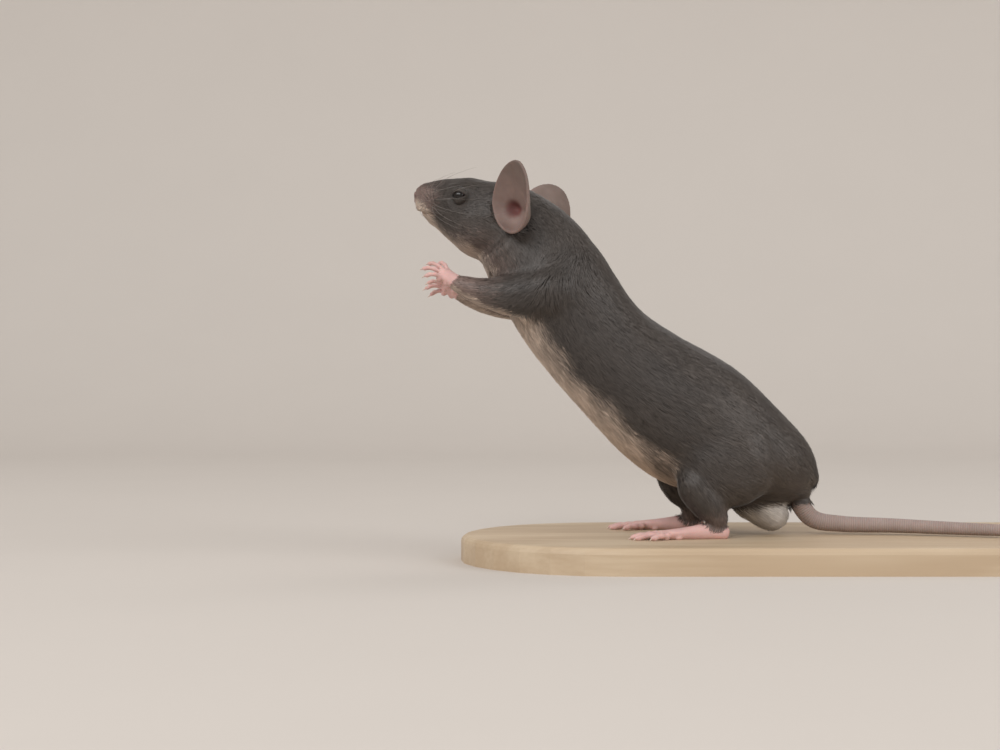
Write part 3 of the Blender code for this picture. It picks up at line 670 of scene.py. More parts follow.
def add_loft(bm, rows, up_hint, around):
    """A closed tube through rows of (x, y, z, half height up, down, half width)."""
    rings = []
    middles = [Vector(row[:3]) for row in rows]
    for i, (middle, row) in enumerate(zip(middles, rows)):
        along = (middles[min(i + 1, len(rows) - 1)] - middles[max(i - 1, 0)]).normalized()
        across = along.cross(Vector(up_hint)).normalized()
        up = across.cross(along)
        ring = []
        for step in range(around):
            angle = math.tau * step / around
            height = math.sin(angle) * (row[3] if math.sin(angle) > 0 else row[4])
            ring.append(bm.verts.new(middle + across * math.cos(angle) * row[5] + up * height))
        rings.append(ring)
    for lower, upper in zip(rings, rings[1:]):
        for step in range(around):
            after = (step + 1) % around
            bm.faces.new((lower[step], lower[after], upper[after], upper[step]))
    bm.faces.new(rings[0][::-1])
    bm.faces.new(rings[-1])


def add_ball(bm, centre, radii):
    place = Matrix.Translation(centre) @ Matrix.Diagonal((*radii, 1.0))
    bmesh.ops.create_icosphere(bm, subdivisions=3, radius=1.0, matrix=place)


def add_round_tube(bm, joints, up_hint, samples, around):
    """A tube of round section with rounded ends, through joints of (x, y, z, radius)."""
    rows = [(*joint, joint[3], joint[3]) for joint in spread_along([tuple(j) for j in joints], samples)]
    add_loft(bm, rows, up_hint, around)
    for end in (joints[0], joints[-1]):
        add_ball(bm, end[:3], (end[3],) * 3)


def mesh_of(bm, name):
    bmesh.ops.recalc_face_normals(bm, faces=bm.faces)
    mesh = bpy.data.meshes.new(name)
    bm.to_mesh(mesh)
    bm.free()
    return mesh


def add_digit(bm, root, forward, bend_to, length, radius, curl):
    """A finger or toe with swollen joints and a pad under its tip. Returns its claw's place and ways."""
    forward = forward.normalized()
    bend_to = bend_to.normalized()
    joints = [(*root, radius * 1.15)]
    place = Vector(root)
    heading = forward
    for share, bends, waist, knuckle in DIGIT_BONES:
        heading = forward * math.cos(bends * curl) + bend_to * math.sin(bends * curl)
        step = heading * length * share
        joints.append((*(place + step * 0.5), radius * waist))
        place = place + step
        joints.append((*place, radius * knuckle))
    hint = bend_to if abs(bend_to.dot(forward)) < 0.9 else Vector((0.0, 1.0, 0.0))
    add_round_tube(bm, joints, hint, samples=19, around=12)
    add_ball(bm, place - heading * radius * 0.9 + bend_to * radius * 0.42, (radius * 0.8,) * 3)
    return place + heading * radius * 0.2 - bend_to * radius * 0.1, heading, bend_to


def add_hand(bm, name):
    """The palm with its pads and four fingers, half curled. Returns the claws' places."""
    wrist = Vector(on_side(FORELEG[name][-1][:3], name))
    forward = Vector(on_side(HAND_FORWARD[name], name)).normalized()
    dorsal = Vector(on_side(HAND_DORSAL, name))
    across = forward.cross(dorsal).normalized()
    dorsal = across.cross(forward)
    palm_end = wrist + forward * PALM_LENGTH
    palm = [
        (*(wrist - forward * 1.6), 1.5, 1.5, 1.6),
        (*wrist, 1.35, 1.4, 1.6),
        (*(wrist + forward * PALM_LENGTH / 2), 1.0, 1.1, PALM_HALF_WIDTH),
        (*palm_end, 0.72, 0.8, PALM_HALF_WIDTH),
    ]
    add_loft(bm, spread_along(palm, 12), dorsal, around=22)
    add_ball(bm, palm_end, (0.85, 0.85, 0.85))
    for along, aside, size in PALM_PADS:
        spot = wrist + forward * PALM_LENGTH * along + across * PALM_HALF_WIDTH * aside - dorsal * 0.55
        add_ball(bm, spot, (size,) * 3)
    claws = []
    for spread, length in FINGERS:
        angle = math.radians(spread)
        heading = forward * math.cos(angle) + across * math.sin(angle)
        root = palm_end + across * math.sin(angle) * 2.3 - forward * (1 - math.cos(angle)) * 1.5
        claws.append(add_digit(bm, root, heading, -dorsal, length, FINGER_RADIUS, FINGER_CURL))
    return claws


def add_foot(bm, name):
    """The long hind foot on its sole, with pads and five toes. Returns the claws' places."""
    heel = Vector(stepped(FOOT_HEEL, name)) + Vector((0.0, 0.0, -SOLE_GAP))
    forward = Vector(on_side((-math.cos(FOOT_TURN), math.sin(FOOT_TURN), 0.0), name))
    across = Vector((0.0, 0.0, 1.0)).cross(forward) * SIDES[name]
    ball = heel + forward * (FOOT_LENGTH - TOES[2][1] - 1.5)
    rows = [
        (*heel, 1.9, 1.5, 1.4),
        (*(heel + forward * 3.0), 1.7, 1.5, 1.5),
        (*(heel + forward * 7.0), 1.0, 1.4, 1.5),
        (*ball, 0.45, 1.4, 2.0),
    ]
    add_loft(bm, spread_along(rows, 18), (0.0, 0.0, 1.0), around=24)
    add_ball(bm, heel, (1.5, 1.4, 1.6))
    add_ball(bm, ball - Vector((0.0, 0.0, 0.5)), (1.6, 1.9, 1.0))
    for along, aside in SOLE_PADS:
        add_ball(bm, ball + forward * along + across * aside + Vector((0.0, 0.0, -0.85)), (0.75, 0.75, 0.6))
    claws = []
    for spread, length in TOES:
        angle = math.radians(spread)
        heading = forward * math.cos(angle) + across * math.sin(angle)
        root = ball + across * math.sin(angle) * 3.6 - forward * (1 - math.cos(angle)) * 5.0
        root.z = 0.85
        claws.append(add_digit(bm, root, heading, Vector((0.0, 0.0, -1.0)), length, TOE_RADIUS, TOE_CURL))
        tendon = [(*root, 0.5), (*(root - heading * 2.6 + Vector((0.0, 0.0, 0.25))), 0.42)]
        tendon.append((*(heel + forward * 5.5 + Vector((0.0, 0.0, 0.45))), 0.5))
        add_round_tube(bm, tendon, (0.0, 0.0, 1.0), samples=8, around=10)
    return claws


def ear_frame(name):
    """The lowest point of the ear's rim and three directions: tip, across and the way its hollow faces."""
    tip = np.array(head_way(*on_side(EAR_TIP[name], name)))
    opens = np.array(head_way(*on_side(EAR_OPENS[name], name)))
    opens = unit(opens - tip * (opens @ tip))
    return np.array(head_place(*on_side(EAR_AT[name], name))), tip, np.cross(tip, opens), opens


def ear_outline(t):
    """Half the ear's width, as a share of its widest, from its lowest rim at 0 to its tip at 1."""
    below = (1 - np.clip((EAR_WIDEST - t) / EAR_WIDEST, 0, 1) ** 2.3) ** 0.5
    above = (1 - np.clip((t - EAR_WIDEST) / (1 - EAR_WIDEST), 0, 1) ** 2) ** 0.55
    return np.minimum(below, above)


def ear_depth(t):
    """How far the bowl's middle lies behind its rim."""
    below = (1 - np.clip(1 - t / EAR_DEEPEST, 0, 1) ** 2) ** 0.5
    return EAR_DEPTH * np.minimum(below, (1 - t) / (1 - EAR_DEEPEST))


def ear_places(name, t, s):
    """Points on the ear's bowl: t up its height and s from -1 to 1 across it, as columns."""
    base, tip, across, opens = ear_frame(name)
    wide = EAR_HALF_WIDTH * ear_outline(t)
    return base + tip * EAR_HEIGHT * t + across * wide * s - opens * ear_depth(t) * (1 - s * s)


def ear_mesh(name):
    """The ear as a bowl of even thickness."""
    bm = bmesh.new()
    s = np.linspace(-1.0, 1.0, EAR_GRID + 1)[:, None]
    grid = []
    for t in 0.5 - 0.5 * np.cos(np.linspace(0.0, math.pi, EAR_GRID + 1)):
        grid.append([bm.verts.new(place) for place in ear_places(name, t, s).tolist()])
    for lower, upper in zip(grid, grid[1:]):
        for i in range(EAR_GRID):
            bm.faces.new((lower[i], lower[i + 1], upper[i + 1], upper[i]))
    bmesh.ops.remove_doubles(bm, verts=bm.verts, dist=0.02)
    sheet = link_object("ear_sheet", mesh_of(bm, f"ear_{name}"))
    thick = sheet.modifiers.new("thick", "SOLIDIFY")
    thick.thickness = EAR_THICK
    thick.offset = 0.0
    return evaluated_mesh(sheet)


def tail_rows(samples):
    """Places along the tail with its radius there, resting on the base."""
    rows = []
    for i, (x, y, z) in enumerate(spread_along(TAIL, samples, 0.0, TAIL_END)):
        share = TAIL_END * i / (samples - 1)
        radius = TAIL_TIP_RADIUS + (TAIL_ROOT_RADIUS - TAIL_TIP_RADIUS) * (1 - share) ** 0.8
        rows.append((x, y, max(z - SOLE_GAP * min(1.0, share / 0.4), radius + SOLE_LEVEL), radius))
    return rows


# --- the skin -----------------------------------------------------------------------


def packed_flesh(name):
    """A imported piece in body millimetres, swollen so that it meets its neighbours."""
    bm = bmesh.new()
    bm.from_mesh(frame["nodes"][name].data)
    to_body = Matrix.Translation(-Vector(BODY_ORIGIN)) @ Matrix.Scale(1 / MM, 4)
    bmesh.ops.transform(bm, matrix=to_body, verts=bm.verts)
    bmesh.ops.remove_doubles(bm, verts=bm.verts, dist=1e-4)
    bm.normal_update()
    for vert in bm.verts:
        vert.co += vert.normal * SWELL
    return mesh_of(bm, name)


def fine_parts():
    """Paws, ears, tail, rump and eyelid domes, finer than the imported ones, and the claws' places."""
    parts = {}
    claws = []
    for name in SIDES:
        for part, add_paw in (("forepaw", add_hand), ("hindpaw", add_foot)):
            bm = bmesh.new()
            claws += add_paw(bm, name)
            parts[f"{part}_{name}"] = mesh_of(bm, f"{part}_{name}")
        parts[f"ear_{name}"] = ear_mesh(name)
        bm = bmesh.new()
        centre, radius, gaze = eye_frame(name)[:3]
        add_ball(bm, centre, (radius,) * 3)
        add_ball(bm, centre - gaze * SOCKET_BACK, (SOCKET_RADIUS,) * 3)
        parts[f"lids_{name}"] = mesh_of(bm, f"lids_{name}")
    bm = bmesh.new()
    for centre, radii in RUMP:
        add_ball(bm, centre, radii)
    parts["rump"] = mesh_of(bm, "rump")
    bm = bmesh.new()
    for name in SIDES:
        x, y, z = stepped(SHANK[-1][:3], name)
        add_ball(bm, (x, y, z - ANKLE_DROP), ANKLE_RADII)
    parts["ankles"] = mesh_of(bm, "ankles")
    bm = bmesh.new()
    rows = tail_rows(120)
    add_loft(bm, [(*row, row[3], row[3]) for row in rows], (0.0, 0.0, 1.0), around=24)
    add_ball(bm, rows[-1][:3], (rows[-1][3],) * 3)
    parts["tail"] = mesh_of(bm, "tail")
    return parts, claws


def fused(parts):
    """One closed mesh of the outside of all parts."""
    bm = bmesh.new()
    for mesh in parts.values():
        bm.from_mesh(mesh)
    obj = link_object("fused", mesh_of(bm, "fused"))
    remesh = obj.modifiers.new("fuse", "REMESH")
    remesh.mode = "VOXEL"
    remesh.voxel_size = SKIN_VOXEL
    return evaluated_mesh(obj)


def refine(mesh, centres):
    """Halves the mesh's faces within each (centre, radius)."""
    bm = bmesh.new()
    bm.from_mesh(mesh)
    for centre, radius in centres:
        middle = Vector(centre)
        near = [e for e in bm.edges if (e.verts[0].co - middle).length_squared < radius * radius]
        bmesh.ops.subdivide_edges(bm, edges=near, cuts=1, use_grid_fill=True)
    bm.to_mesh(mesh)
    bm.free()


class SkinSurface:
    """The skin's mesh as arrays with one row for each vertex, in body millimetres."""

    def __init__(self, mesh, parts):
        self.mesh = mesh
        self.count = len(mesh.vertices)
        ends = np.empty(len(mesh.edges) * 2, np.int32)
        mesh.edges.foreach_get("vertices", ends)
        self.ends = ends.reshape(-1, 2)
        self.degree = np.maximum(np.bincount(ends, minlength=self.count), 1)
        points = np.empty(self.count * 3, np.float32)
        mesh.vertices.foreach_get("co", points)
        self.points = points.reshape(-1, 3).astype(float)
        self.names = list(parts)
        self.owner = owners_of(self.points, parts)
        self.marks = {"lid": np.zeros(self.count)}
        self.open = np.zeros(self.count)
        self.slit = np.zeros(self.count)

    def owned(self, *wanted):
        """1 for each vertex that comes from one of the wanted parts, 0 for the others."""
        return np.isin(self.owner, [self.names.index(name) for name in wanted]).astype(float)

    def raise_mark(self, name, values):
        self.marks[name] = np.maximum(self.marks[name], values)

    def write(self):
        self.mesh.vertices.foreach_set("co", self.points.astype(np.float32).ravel())
        self.mesh.update()

    def normals(self):
        self.write()
        found = np.empty(self.count * 3, np.float32)
        self.mesh.vertex_normals.foreach_get("vector", found)
        return found.reshape(-1, 3).astype(float)

    def neighbour_mean(self, values):
        a, b = self.ends.T
        columns = values.reshape(self.count, -1).T
        sums = [np.bincount(a, c[b], self.count) + np.bincount(b, c[a], self.count) for c in columns]
        return (np.array(sums) / self.degree).T.reshape(values.shape)

    def softened(self, values, rounds):
        """The values blurred along the surface."""
        for _ in range(rounds):
            values = 0.5 * values + 0.5 * self.neighbour_mean(values)
        return values

    def ease(self, freedom, rounds):
        """Smooths the surface without shrinking it, as far as each vertex is free to move."""
        for _ in range(rounds):
            for factor in (0.5, -0.52):
                drift = self.neighbour_mean(self.points) - self.points
                self.points += factor * freedom[:, None] * drift

    def push(self, ways, amount):
        self.points += ways * amount[:, None]


def owners_of(points, parts):
    """The part that each point comes from, as its number in the order of the parts."""
    corners, faces, owner = [], [], []
    for index, mesh in enumerate(parts.values()):
        start = len(corners)
        corners += [tuple(v.co) for v in mesh.vertices]
        faces += [tuple(start + i for i in p.vertices) for p in mesh.polygons]
        owner += [index] * len(mesh.polygons)
    tree = BVHTree.FromPolygons(corners, faces)
    hits = [tree.find_nearest(p)[2] for p in points.tolist()]
    return np.array(owner)[hits]


def guide_lines():
    """Lines that the coat follows: rows of x, y, z, radius, hair length, coat depth and pale border."""
    line = []
    for x, z, *rest in HEAD_LINE.values():
        line.append((*head_place(x, 0.0, z), *rest))
    for x, z, *rest in BODY_LINE.values():
        line.append((x, 0.0, z, *rest))
    lines = [line, POUCH]
    for name in SIDES:
        lines.append([(*on_side(row[:3], name), *row[3:]) for row in FORELEG[name]])
        lines.append([(*stepped(row[:3], name), *row[3:]) for row in SHANK])
    return [np.array(rows) for rows in lines]


def read_guides(points):
    """At each point: the hair's lie and length, the coat's depth and how far past the pale border it is."""
    total = np.zeros(len(points))
    lie = np.zeros((len(points), 3))
    sizes = np.zeros((len(points), 3))
    for rows in guide_lines():
        for a, b in zip(rows, rows[1:]):
            along = b[:3] - a[:3]
            near = a + segment_shares(points, a[:3], along)[:, None] * (b - a)
            offset = points - near[:, :3]
            gap = np.linalg.norm(offset, axis=1) / near[:, 3]
            weight = np.maximum(gap, 0.05) ** -8.0  # the nearest line counts by far the most
            heading = unit(along)
            under = unit(np.array((0.0, 0.0, -1.0)) + heading[2] * heading)
            sunk = offset @ under / near[:, 3] - near[:, 6]
            total += weight
            lie += weight[:, None] * heading
            sizes += weight[:, None] * np.column_stack((near[:, 4:6], sunk))
    return lie / total[:, None], *(sizes / total[:, None]).T


def eye_frame(name):
    """The eye's middle, radius and three ways: where it looks, along its slit and up."""
    centre, packed = eye_place(name)
    gaze = np.array(head_way(*on_side(EYE_GAZE, name)))
    radius = packed * EYE_SHARE
    centre = np.array(centre) + gaze * (packed - radius) * EYE_FORWARD
    slit = np.array(head_way(*EYE_SLIT))
    slit = unit(slit - gaze * (slit @ gaze))
    up = np.cross(slit, gaze)
    return centre, radius, gaze, slit, up * np.sign(up[2])


def shape_lids(skin, name):
    """Raises lids over the eyeball and opens the slit between them. Marks the dark rim."""
    centre, radius, gaze, slit, up = eye_frame(name)
    offset = skin.points - centre
    reach = np.linalg.norm(offset, axis=1)
    ways = offset / np.maximum(reach, 1e-6)[:, None]
    facing = ways @ gaze
    lids = radius + LID_THICK
    soft_max = 0.5 * (reach + lids + np.sqrt((reach - lids) ** 2 + LID_BLEND**2))
    window = ramp(-0.2, 0.3, facing) * ramp(4.5, 3.4, reach)
    along = np.degrees(np.arcsin(np.clip(ways @ slit, -1, 1)))
    above = np.degrees(np.arcsin(np.clip(ways @ up, -1, 1))) + SLIT_LOWERED
    share = np.clip(np.abs(along) / SLIT_HALF_WIDE, 0, 1)
    half_high = np.where(above > 0, SLIT_ABOVE, SLIT_BELOW) * (1 - share**2.0)
    outside = np.where(np.abs(along) < SLIT_HALF_WIDE, np.abs(above) - half_high, 12.0)
    raised = reach + (soft_max - reach) * window
    fold = LID_FOLD * np.exp(-(((outside - 5.0) / 4.0) ** 2))
    sunk = radius - EYE_SINK
    open_share = ramp(1.5, -3.5, outside) * window
    target = (raised + fold * window) * (1 - open_share) + sunk * open_share
    skin.points = centre + ways * target[:, None]
    skin.raise_mark("lid", np.exp(-((np.maximum(outside, 0.0) / 2.6) ** 2)) * window)
    skin.open = np.maximum(skin.open, open_share)
    skin.slit = np.maximum(skin.slit, window * ramp(16.0, 8.0, outside))


def shape_muzzle(skin):
    """Mouth line, lips, the groove under the nose, nose pad and nostrils."""
    normals = skin.normals()
    local = before_turn(skin.points)
    x, y, z = local.T
    aside = np.abs(y)
    front = ramp(-45.6, -48.5, x)
    mouth_z = MOUTH_AT[1] + (x - MOUTH_AT[0]) * MOUTH_SLOPE
    mouth = np.exp(-(((z - mouth_z) / 0.20) ** 2)) * front * ramp(66.0, 63.5, z)
    lip = np.exp(-(((z - mouth_z - 0.62) / 0.36) ** 2)) * front
    philtrum = np.exp(-((aside / 0.16) ** 2)) * ramp(-51.8, -52.8, x)
    philtrum *= ramp(64.6, 64.1, z) * ramp(61.8, 62.5, z)
    skin.push(normals, 0.10 * lip - 0.42 * mouth - 0.28 * philtrum)
    pad_gap = np.linalg.norm((local - NOSE_PAD) / NOSE_PAD_RADII, axis=1)
    pad = ramp(1.25, 0.85, pad_gap)
    crease = np.exp(-(((pad_gap - 1.3) / 0.16) ** 2))
    skin.push(normals, 0.14 * pad - 0.12 * crease)
    nostril = np.zeros(skin.count)
    for middle, size, deep in NOSTRILS:
        gap = gap_to(np.column_stack((x, aside, z)), middle)
        skin.push(normals, -deep * np.exp(-((gap / size) ** 2)))
        nostril = np.maximum(nostril, np.exp(-((gap / (size * 1.2)) ** 2)))
    # painted shade: the nostrils' openings are marked near-black with the lid rims' colour
    skin.raise_mark("lid", nostril)
    skin.marks["nose"] = np.clip(ramp(1.5, 0.95, pad_gap) + 0.7 * mouth * ramp(-50.0, -51.5, x), 0, 1)
    snout = ramp(-47.2, -51.4, x - 0.25 * (z - 65.0))
    top_dark = ramp(66.6, 68.2, z + 0.35 * (x + 52.0))
    skin.marks["muzzle"] = snout * (1 - 0.75 * top_dark)


def ear_spots(points, name):
    """Each point's share of the ear's height and width, and how far before the bowl and the rim it is."""
    base, tip, across, opens = ear_frame(name)
    gap = points - base
    t = gap @ tip / EAR_HEIGHT
    shown = np.clip(t, 0.0, 1.0)
    s = gap @ across / (EAR_HALF_WIDTH * np.maximum(ear_outline(shown), 0.1))
    before_rim = gap @ opens
    return t, s, before_rim + ear_depth(shown) * (1 - np.clip(s * s, 0, 1)), before_rim


def in_bowls(points, wide=1.0):
    """1 for points in the hollow of an ear and 0 outside. wide stretches the hollow across."""
    found = np.zeros(len(points))
    for name in SIDES:
        t, s, before_bowl, before_rim = ear_spots(points, name)
        within = ramp(1.02 * wide, 0.90 * wide, np.abs(s)) * ramp(-0.01, 0.05, t) * ramp(1.0, 0.95, t)
        found = np.maximum(found, within * ramp(-0.1, 0.1, before_bowl) * ramp(0.7, 0.3, before_rim))
    return found


def shape_ears(skin, own):
    """Sinks each ear's canal, darkened as painted shade in its depth, and marks the ears' skin, hollows that
    are pinker low down and darker towards the tip, and pale lower rims.
    """
    hollow = np.zeros(skin.count)
    canal = np.zeros(skin.count)
    bowls = in_bowls(skin.points)
    for name in SIDES:
        opens = ear_frame(name)[3]
        t, s, before_bowl, _ = ear_spots(skin.points, name)
        near = (np.abs(s) < 1.3) & (np.abs(t - 0.5) < 0.6) & (np.abs(before_bowl) < 3.5)
        gap = gap_to(skin.points, ear_places(name, *EAR_CANAL))
        skin.push(-opens[None, :], near * CANAL_DEEP * np.exp(-((gap / CANAL_RADIUS) ** 2)))
        # the canal mark gives its real red, darkened as painted shade in the pit
        canal = np.maximum(canal, near * bowls * ramp(CANAL_RADIUS * 1.9, CANAL_RADIUS * 0.8, gap))
        edge = ramp(0.80, 0.98, np.abs(s)) + ramp(0.09, 0.02, t)
        # the hollow's paler pink fades out above the ear's middle, so the inside is darker towards the tip
        hollow = np.maximum(hollow, near * np.maximum(bowls, np.clip(edge, 0, 1)) * ramp(0.85, 0.45, t))
    skin.marks["ear"] = np.maximum(own, bowls)
    skin.marks["hollow"] = hollow
    skin.marks["canal"] = canal


def along_tail(points):
    """How far along the tail each point is, in millimetres from its root."""
    rows = np.array(tail_rows(60))
    along = np.zeros(len(points))
    gap = np.full(len(points), np.inf)
    walked = 0.0
    for a, b in zip(rows, rows[1:]):
        step = b[:3] - a[:3]
        length = np.linalg.norm(step)
        share = segment_shares(points, a[:3], step)
        away = np.linalg.norm(points - a[:3] - share[:, None] * step, axis=1)
        nearer = away < gap
        along[nearer] = walked + share[nearer] * length
        gap[nearer] = away[nearer]
        walked += length
    return along


def laid_flat(ways, normals):
    """The ways without what stands out from the surface."""
    return ways - normals * np.sum(ways * normals, axis=1)[:, None]


def lay_hair(skin, lie, tail):
    """Sets the hair's lie, which on bare skin leads to the tips of fingers, toes, ears and tail."""
    tail_way = unit(np.array(TAIL[-1]) - np.array(TAIL[3]))
    lie = lie * (1 - skin.bare)[:, None] + skin.bare[:, None] * tail_way * tail[:, None]
    for name in SIDES:
        hand = skin.owned(f"forepaw_{name}")[:, None]
        foot = skin.owned(f"hindpaw_{name}")[:, None]
        hand_way = np.array(on_side(HAND_FORWARD[name], name))
        foot_way = np.array(on_side((-1.0, 0.15, -0.1), name))
        lie = lie + hand * hand_way + foot * foot_way
        lie = lie + skin.owned(f"ear_{name}")[:, None] * ear_frame(name)[1]
    lie = unit(skin.softened(unit(laid_flat(lie, skin.normal)), LIE_ROUNDS))
    skin.lie = unit(laid_flat(lie, skin.normal))


def paint_marks(skin, paws, tail, sunk):
    """Marks the legs' thin-haired ends, the pouch, painted shade on the lower flanks, the pale underside,
    paws and tail.
    """
    points = skin.points
    wrists = np.zeros(skin.count)
    for name in SIDES:
        gap = gap_to(points, on_side(FORELEG[name][-1][:3], name))
        wrists = np.maximum(wrists, 0.9 * ramp(14.0, 1.5, gap))
        gap = gap_to(points, stepped(SHANK[-1][:3], name))
        wrists = np.maximum(wrists, 0.6 * ramp(5.5, 1.0, gap))
    skin.raise_mark("muzzle", wrists)
    top, bottom = (np.array(row[:3]) for row in POUCH)
    share = segment_shares(points, top, bottom - top)
    gap = np.linalg.norm(points - top - share[:, None] * (bottom - top), axis=1)
    reach = POUCH[0][3] + share * (POUCH[1][3] - POUCH[0][3])
    pouch = ramp(1.35, 1.05, gap / reach) * ramp(7.2, 6.0, points[:, 2]) * ramp(19.0, 17.0, points[:, 0])
    wobble = 0.06 * ripple(points, 5.0, 11) + 0.03 * ripple(points, 1.8, 12)
    furred = 1 - skin.softened(np.maximum(paws, tail), 5)
    barrel = ramp(-37.0, -30.0, points[:, 0]) * ramp(8.0, -4.0, points[:, 0])
    skin.marks["pouch"] = pouch
    # painted shade: the dark mark darkens the coat on the lower flanks, from the neck to the loins, where the
    # sides are in shade
    skin.marks["dark"] = ramp(-1.7, -1.0, sunk) * barrel
    skin.marks["buff"] = ramp(-0.24, 0.26, sunk + wobble) * (1 - pouch) * furred * (1 - 0.5 * wrists)
    skin.marks["paw"] = skin.softened(paws, MARK_ROUNDS)
    skin.marks["tail"] = skin.softened(tail, MARK_ROUNDS)
    skin.marks["ring"] = along_tail(points) / TAIL_RING
    skin.marks["ear"] = skin.softened(skin.marks["ear"], 4)


def build_skin():
    """The whole skin as arrays, with its marks and the way its hair lies."""
    parts = {name: packed_flesh(name) for name in FURRED_NODES}
    fine, claws = fine_parts()
    parts.update(fine)
    mesh = fused(parts)
    refine(mesh, [(eye_place(name)[0], FINE_EYE) for name in SIDES] + [(head_place(*NOSE_FRONT), FINE_NOSE)])
    skin = SkinSurface(mesh, parts)
    skin.claws = claws
    paws = skin.owned("forepaw_left", "forepaw_right", "hindpaw_left", "hindpaw_right")
    ears = skin.owned("ear_left", "ear_right")
    tail = skin.owned("tail")
    bowls = in_bowls(skin.points)
    skin.bare = skin.softened(np.max((paws, ears, tail, bowls), axis=0), MARK_ROUNDS)
    skin.bare_ear = skin.softened(np.maximum(ears, bowls), MARK_ROUNDS)
    skin.fade = skin.softened(np.maximum(paws, tail), FADE_ROUNDS)
    furred = np.clip(1 - 1.6 * skin.bare, 0, 1)
    skin.ease(1 - 0.5 * skin.bare, ALL_EASE)
    skin.ease(furred, BODY_EASE)
    normals = skin.normals()
    lie, skin.length, skin.depth, sunk = read_guides(skin.points)
    skin.push(normals, -(1 - skin.bare) * (SWELL + skin.depth))
    skin.ease(furred, PUSHED_EASE)
    eye_gap = gap_to_eyes(skin.points)
    skin.ease(ramp(5.0, 3.2, eye_gap), EYE_EASE)
    for name in SIDES:
        shape_lids(skin, name)
    skin.ease(ramp(4.6, 3.2, eye_gap) * (1 - skin.slit), EYE_EASE)
    shape_muzzle(skin)
    shape_ears(skin, ears)
    low = skin.points[:, 2] < SOLE_LEVEL
    skin.points[low, 2] = SOLE_LEVEL
    skin.normal = skin.normals()
    lay_hair(skin, lie, tail)
    paint_marks(skin, paws, tail, sunk)
    return skin


def write_marks(mesh, marks):
    """Paints values on the mesh's vertices."""
    for name, values in marks.items():
        layer = mesh.attributes.new(name, "FLOAT", "POINT")
        layer.data.foreach_set("value", np.asarray(values, np.float32))


def shown_skin(skin):
    """The skin's own mesh, thinned where the coat covers it."""
    mesh = skin.mesh.copy()
    write_marks(mesh, {name: skin.marks[name] for name in MARKS})
    obj = link_object("skin_full", mesh)
    group = obj.vertex_groups.new(name="covered")
    covered = np.flatnonzero((skin.bare < 0.02) & (skin.length > 1.3))
    group.add(covered.tolist(), 1.0, "REPLACE")
    corners = obj.modifiers.new("corners", "TRIANGULATE")
    corners.keep_custom_normals = False
    full = sum(len(p.vertices) - 2 for p in mesh.polygons)
    thin = obj.modifiers.new("thin", "DECIMATE")
    thin.ratio = SKIN_TRIANGLES / full
    thin.vertex_group = group.name
    return evaluated_mesh(obj)


# --- the coat -----------------------------------------------------------------------


def one_per_cell(points, spacing, rng):
    """Indices of points, at most one in each cell of a grid."""
    order = rng.permutation(len(points))
    cells = np.floor(points[order] / spacing).astype(np.int64) + GRID_CELLS // 2
    keys = (cells[:, 0] * GRID_CELLS + cells[:, 1]) * GRID_CELLS + cells[:, 2]
    _, first = np.unique(keys, return_index=True)
    return order[first]


class Ground:
    """Finds places on the skin."""

    def __init__(self, skin):
        faces = [tuple(p.vertices) for p in skin.mesh.polygons]
        self.tree = BVHTree.FromPolygons(skin.points.tolist(), faces)
        self.first = np.array([p.vertices[0] for p in skin.mesh.polygons])

    def settle(self, points):
        """The nearest places on the skin, and a skin vertex beside each."""
        hits = [self.tree.find_nearest(p) for p in points.tolist()]
        return np.array([h[0][:] for h in hits]), self.first[[h[2] for h in hits]]


def turned(ways, normals, angles):
    """The ways turned about the normals."""
    return ways * np.cos(angles)[:, None] + np.cross(normals, ways) * np.sin(angles)[:, None]


def grow(skin, ground, roots, width, length_scale, rng):
    """Which tufts are clear of the ears and hardly bent, and their root, middle, tip and ways."""
    count = len(roots)
    normal = skin.normal[roots]
    point = skin.points[roots]
    angle = 0.06 * ripple(point, 9.0, 21) + 0.035 * ripple(point, 2.4, 22) + rng.normal(0.0, 0.06, count)
    length = skin.length[roots] * length_scale * rng.uniform(0.78, 1.12, count)
    way = turned(skin.lie[roots], normal, angle)
    point = point + np.cross(normal, way) * (rng.uniform(-0.5, 0.5, count) * 0.2)[:, None]
    middle, beside = ground.settle(point + way * (length * 0.5)[:, None])
    middle_normal = skin.normal[beside]
    middle_way = unit(turned(skin.lie[beside], middle_normal, angle) + way)
    tip, beyond = ground.settle(middle + middle_way * (length * 0.5)[:, None])
    tip_normal = skin.normal[beyond]
    depth = skin.depth[roots]
    loose = skin.loose[roots]
    lift = depth * rng.uniform(0.35, 0.75, count)
    rise = depth * rng.uniform(0.72, 1.0, count) + loose * rng.uniform(0.0, 1.0, count) ** 2.5
    point = point - normal * TUFT_SUNK
    middle = middle + middle_normal * (lift + 0.35 * loose * rng.uniform(0.0, 1.0, count))[:, None]
    tip = tip + tip_normal * rise[:, None]
    across = unit(np.cross(normal + middle_normal, tip - point))
    half = width[roots] * rng.uniform(0.75, 1.2, count) * 0.5
    kept = np.maximum(skin.bare_ear[beside], skin.bare_ear[beyond]) < HAIRLESS_EAR
    kept &= np.sum(way * middle_way, axis=1) > TUFT_TURN
    tufts = (point, middle, tip, across, normal, middle_normal, tip_normal, half)
    return kept, [values[kept] for values in tufts]


TUFT_FACES = np.array(
    (
        (0, 2, 1),
        (0, 1, 4), (0, 4, 3), (1, 2, 5), (1, 5, 4), (2, 0, 3), (2, 3, 5),
        (3, 4, 6), (4, 5, 6), (5, 3, 6),
    )
)  # fmt: skip
TUFT_REACH = (0.0, 0.0, 0.0, 0.55, 0.55, 0.55, 1.0)
TUFT_PATCH = np.array(((0.0, 0.0), (1.0, 0.0), (0.5, 0.1), (0.0, 0.6), (1.0, 0.6), (0.5, 0.55), (0.5, 1.0)))


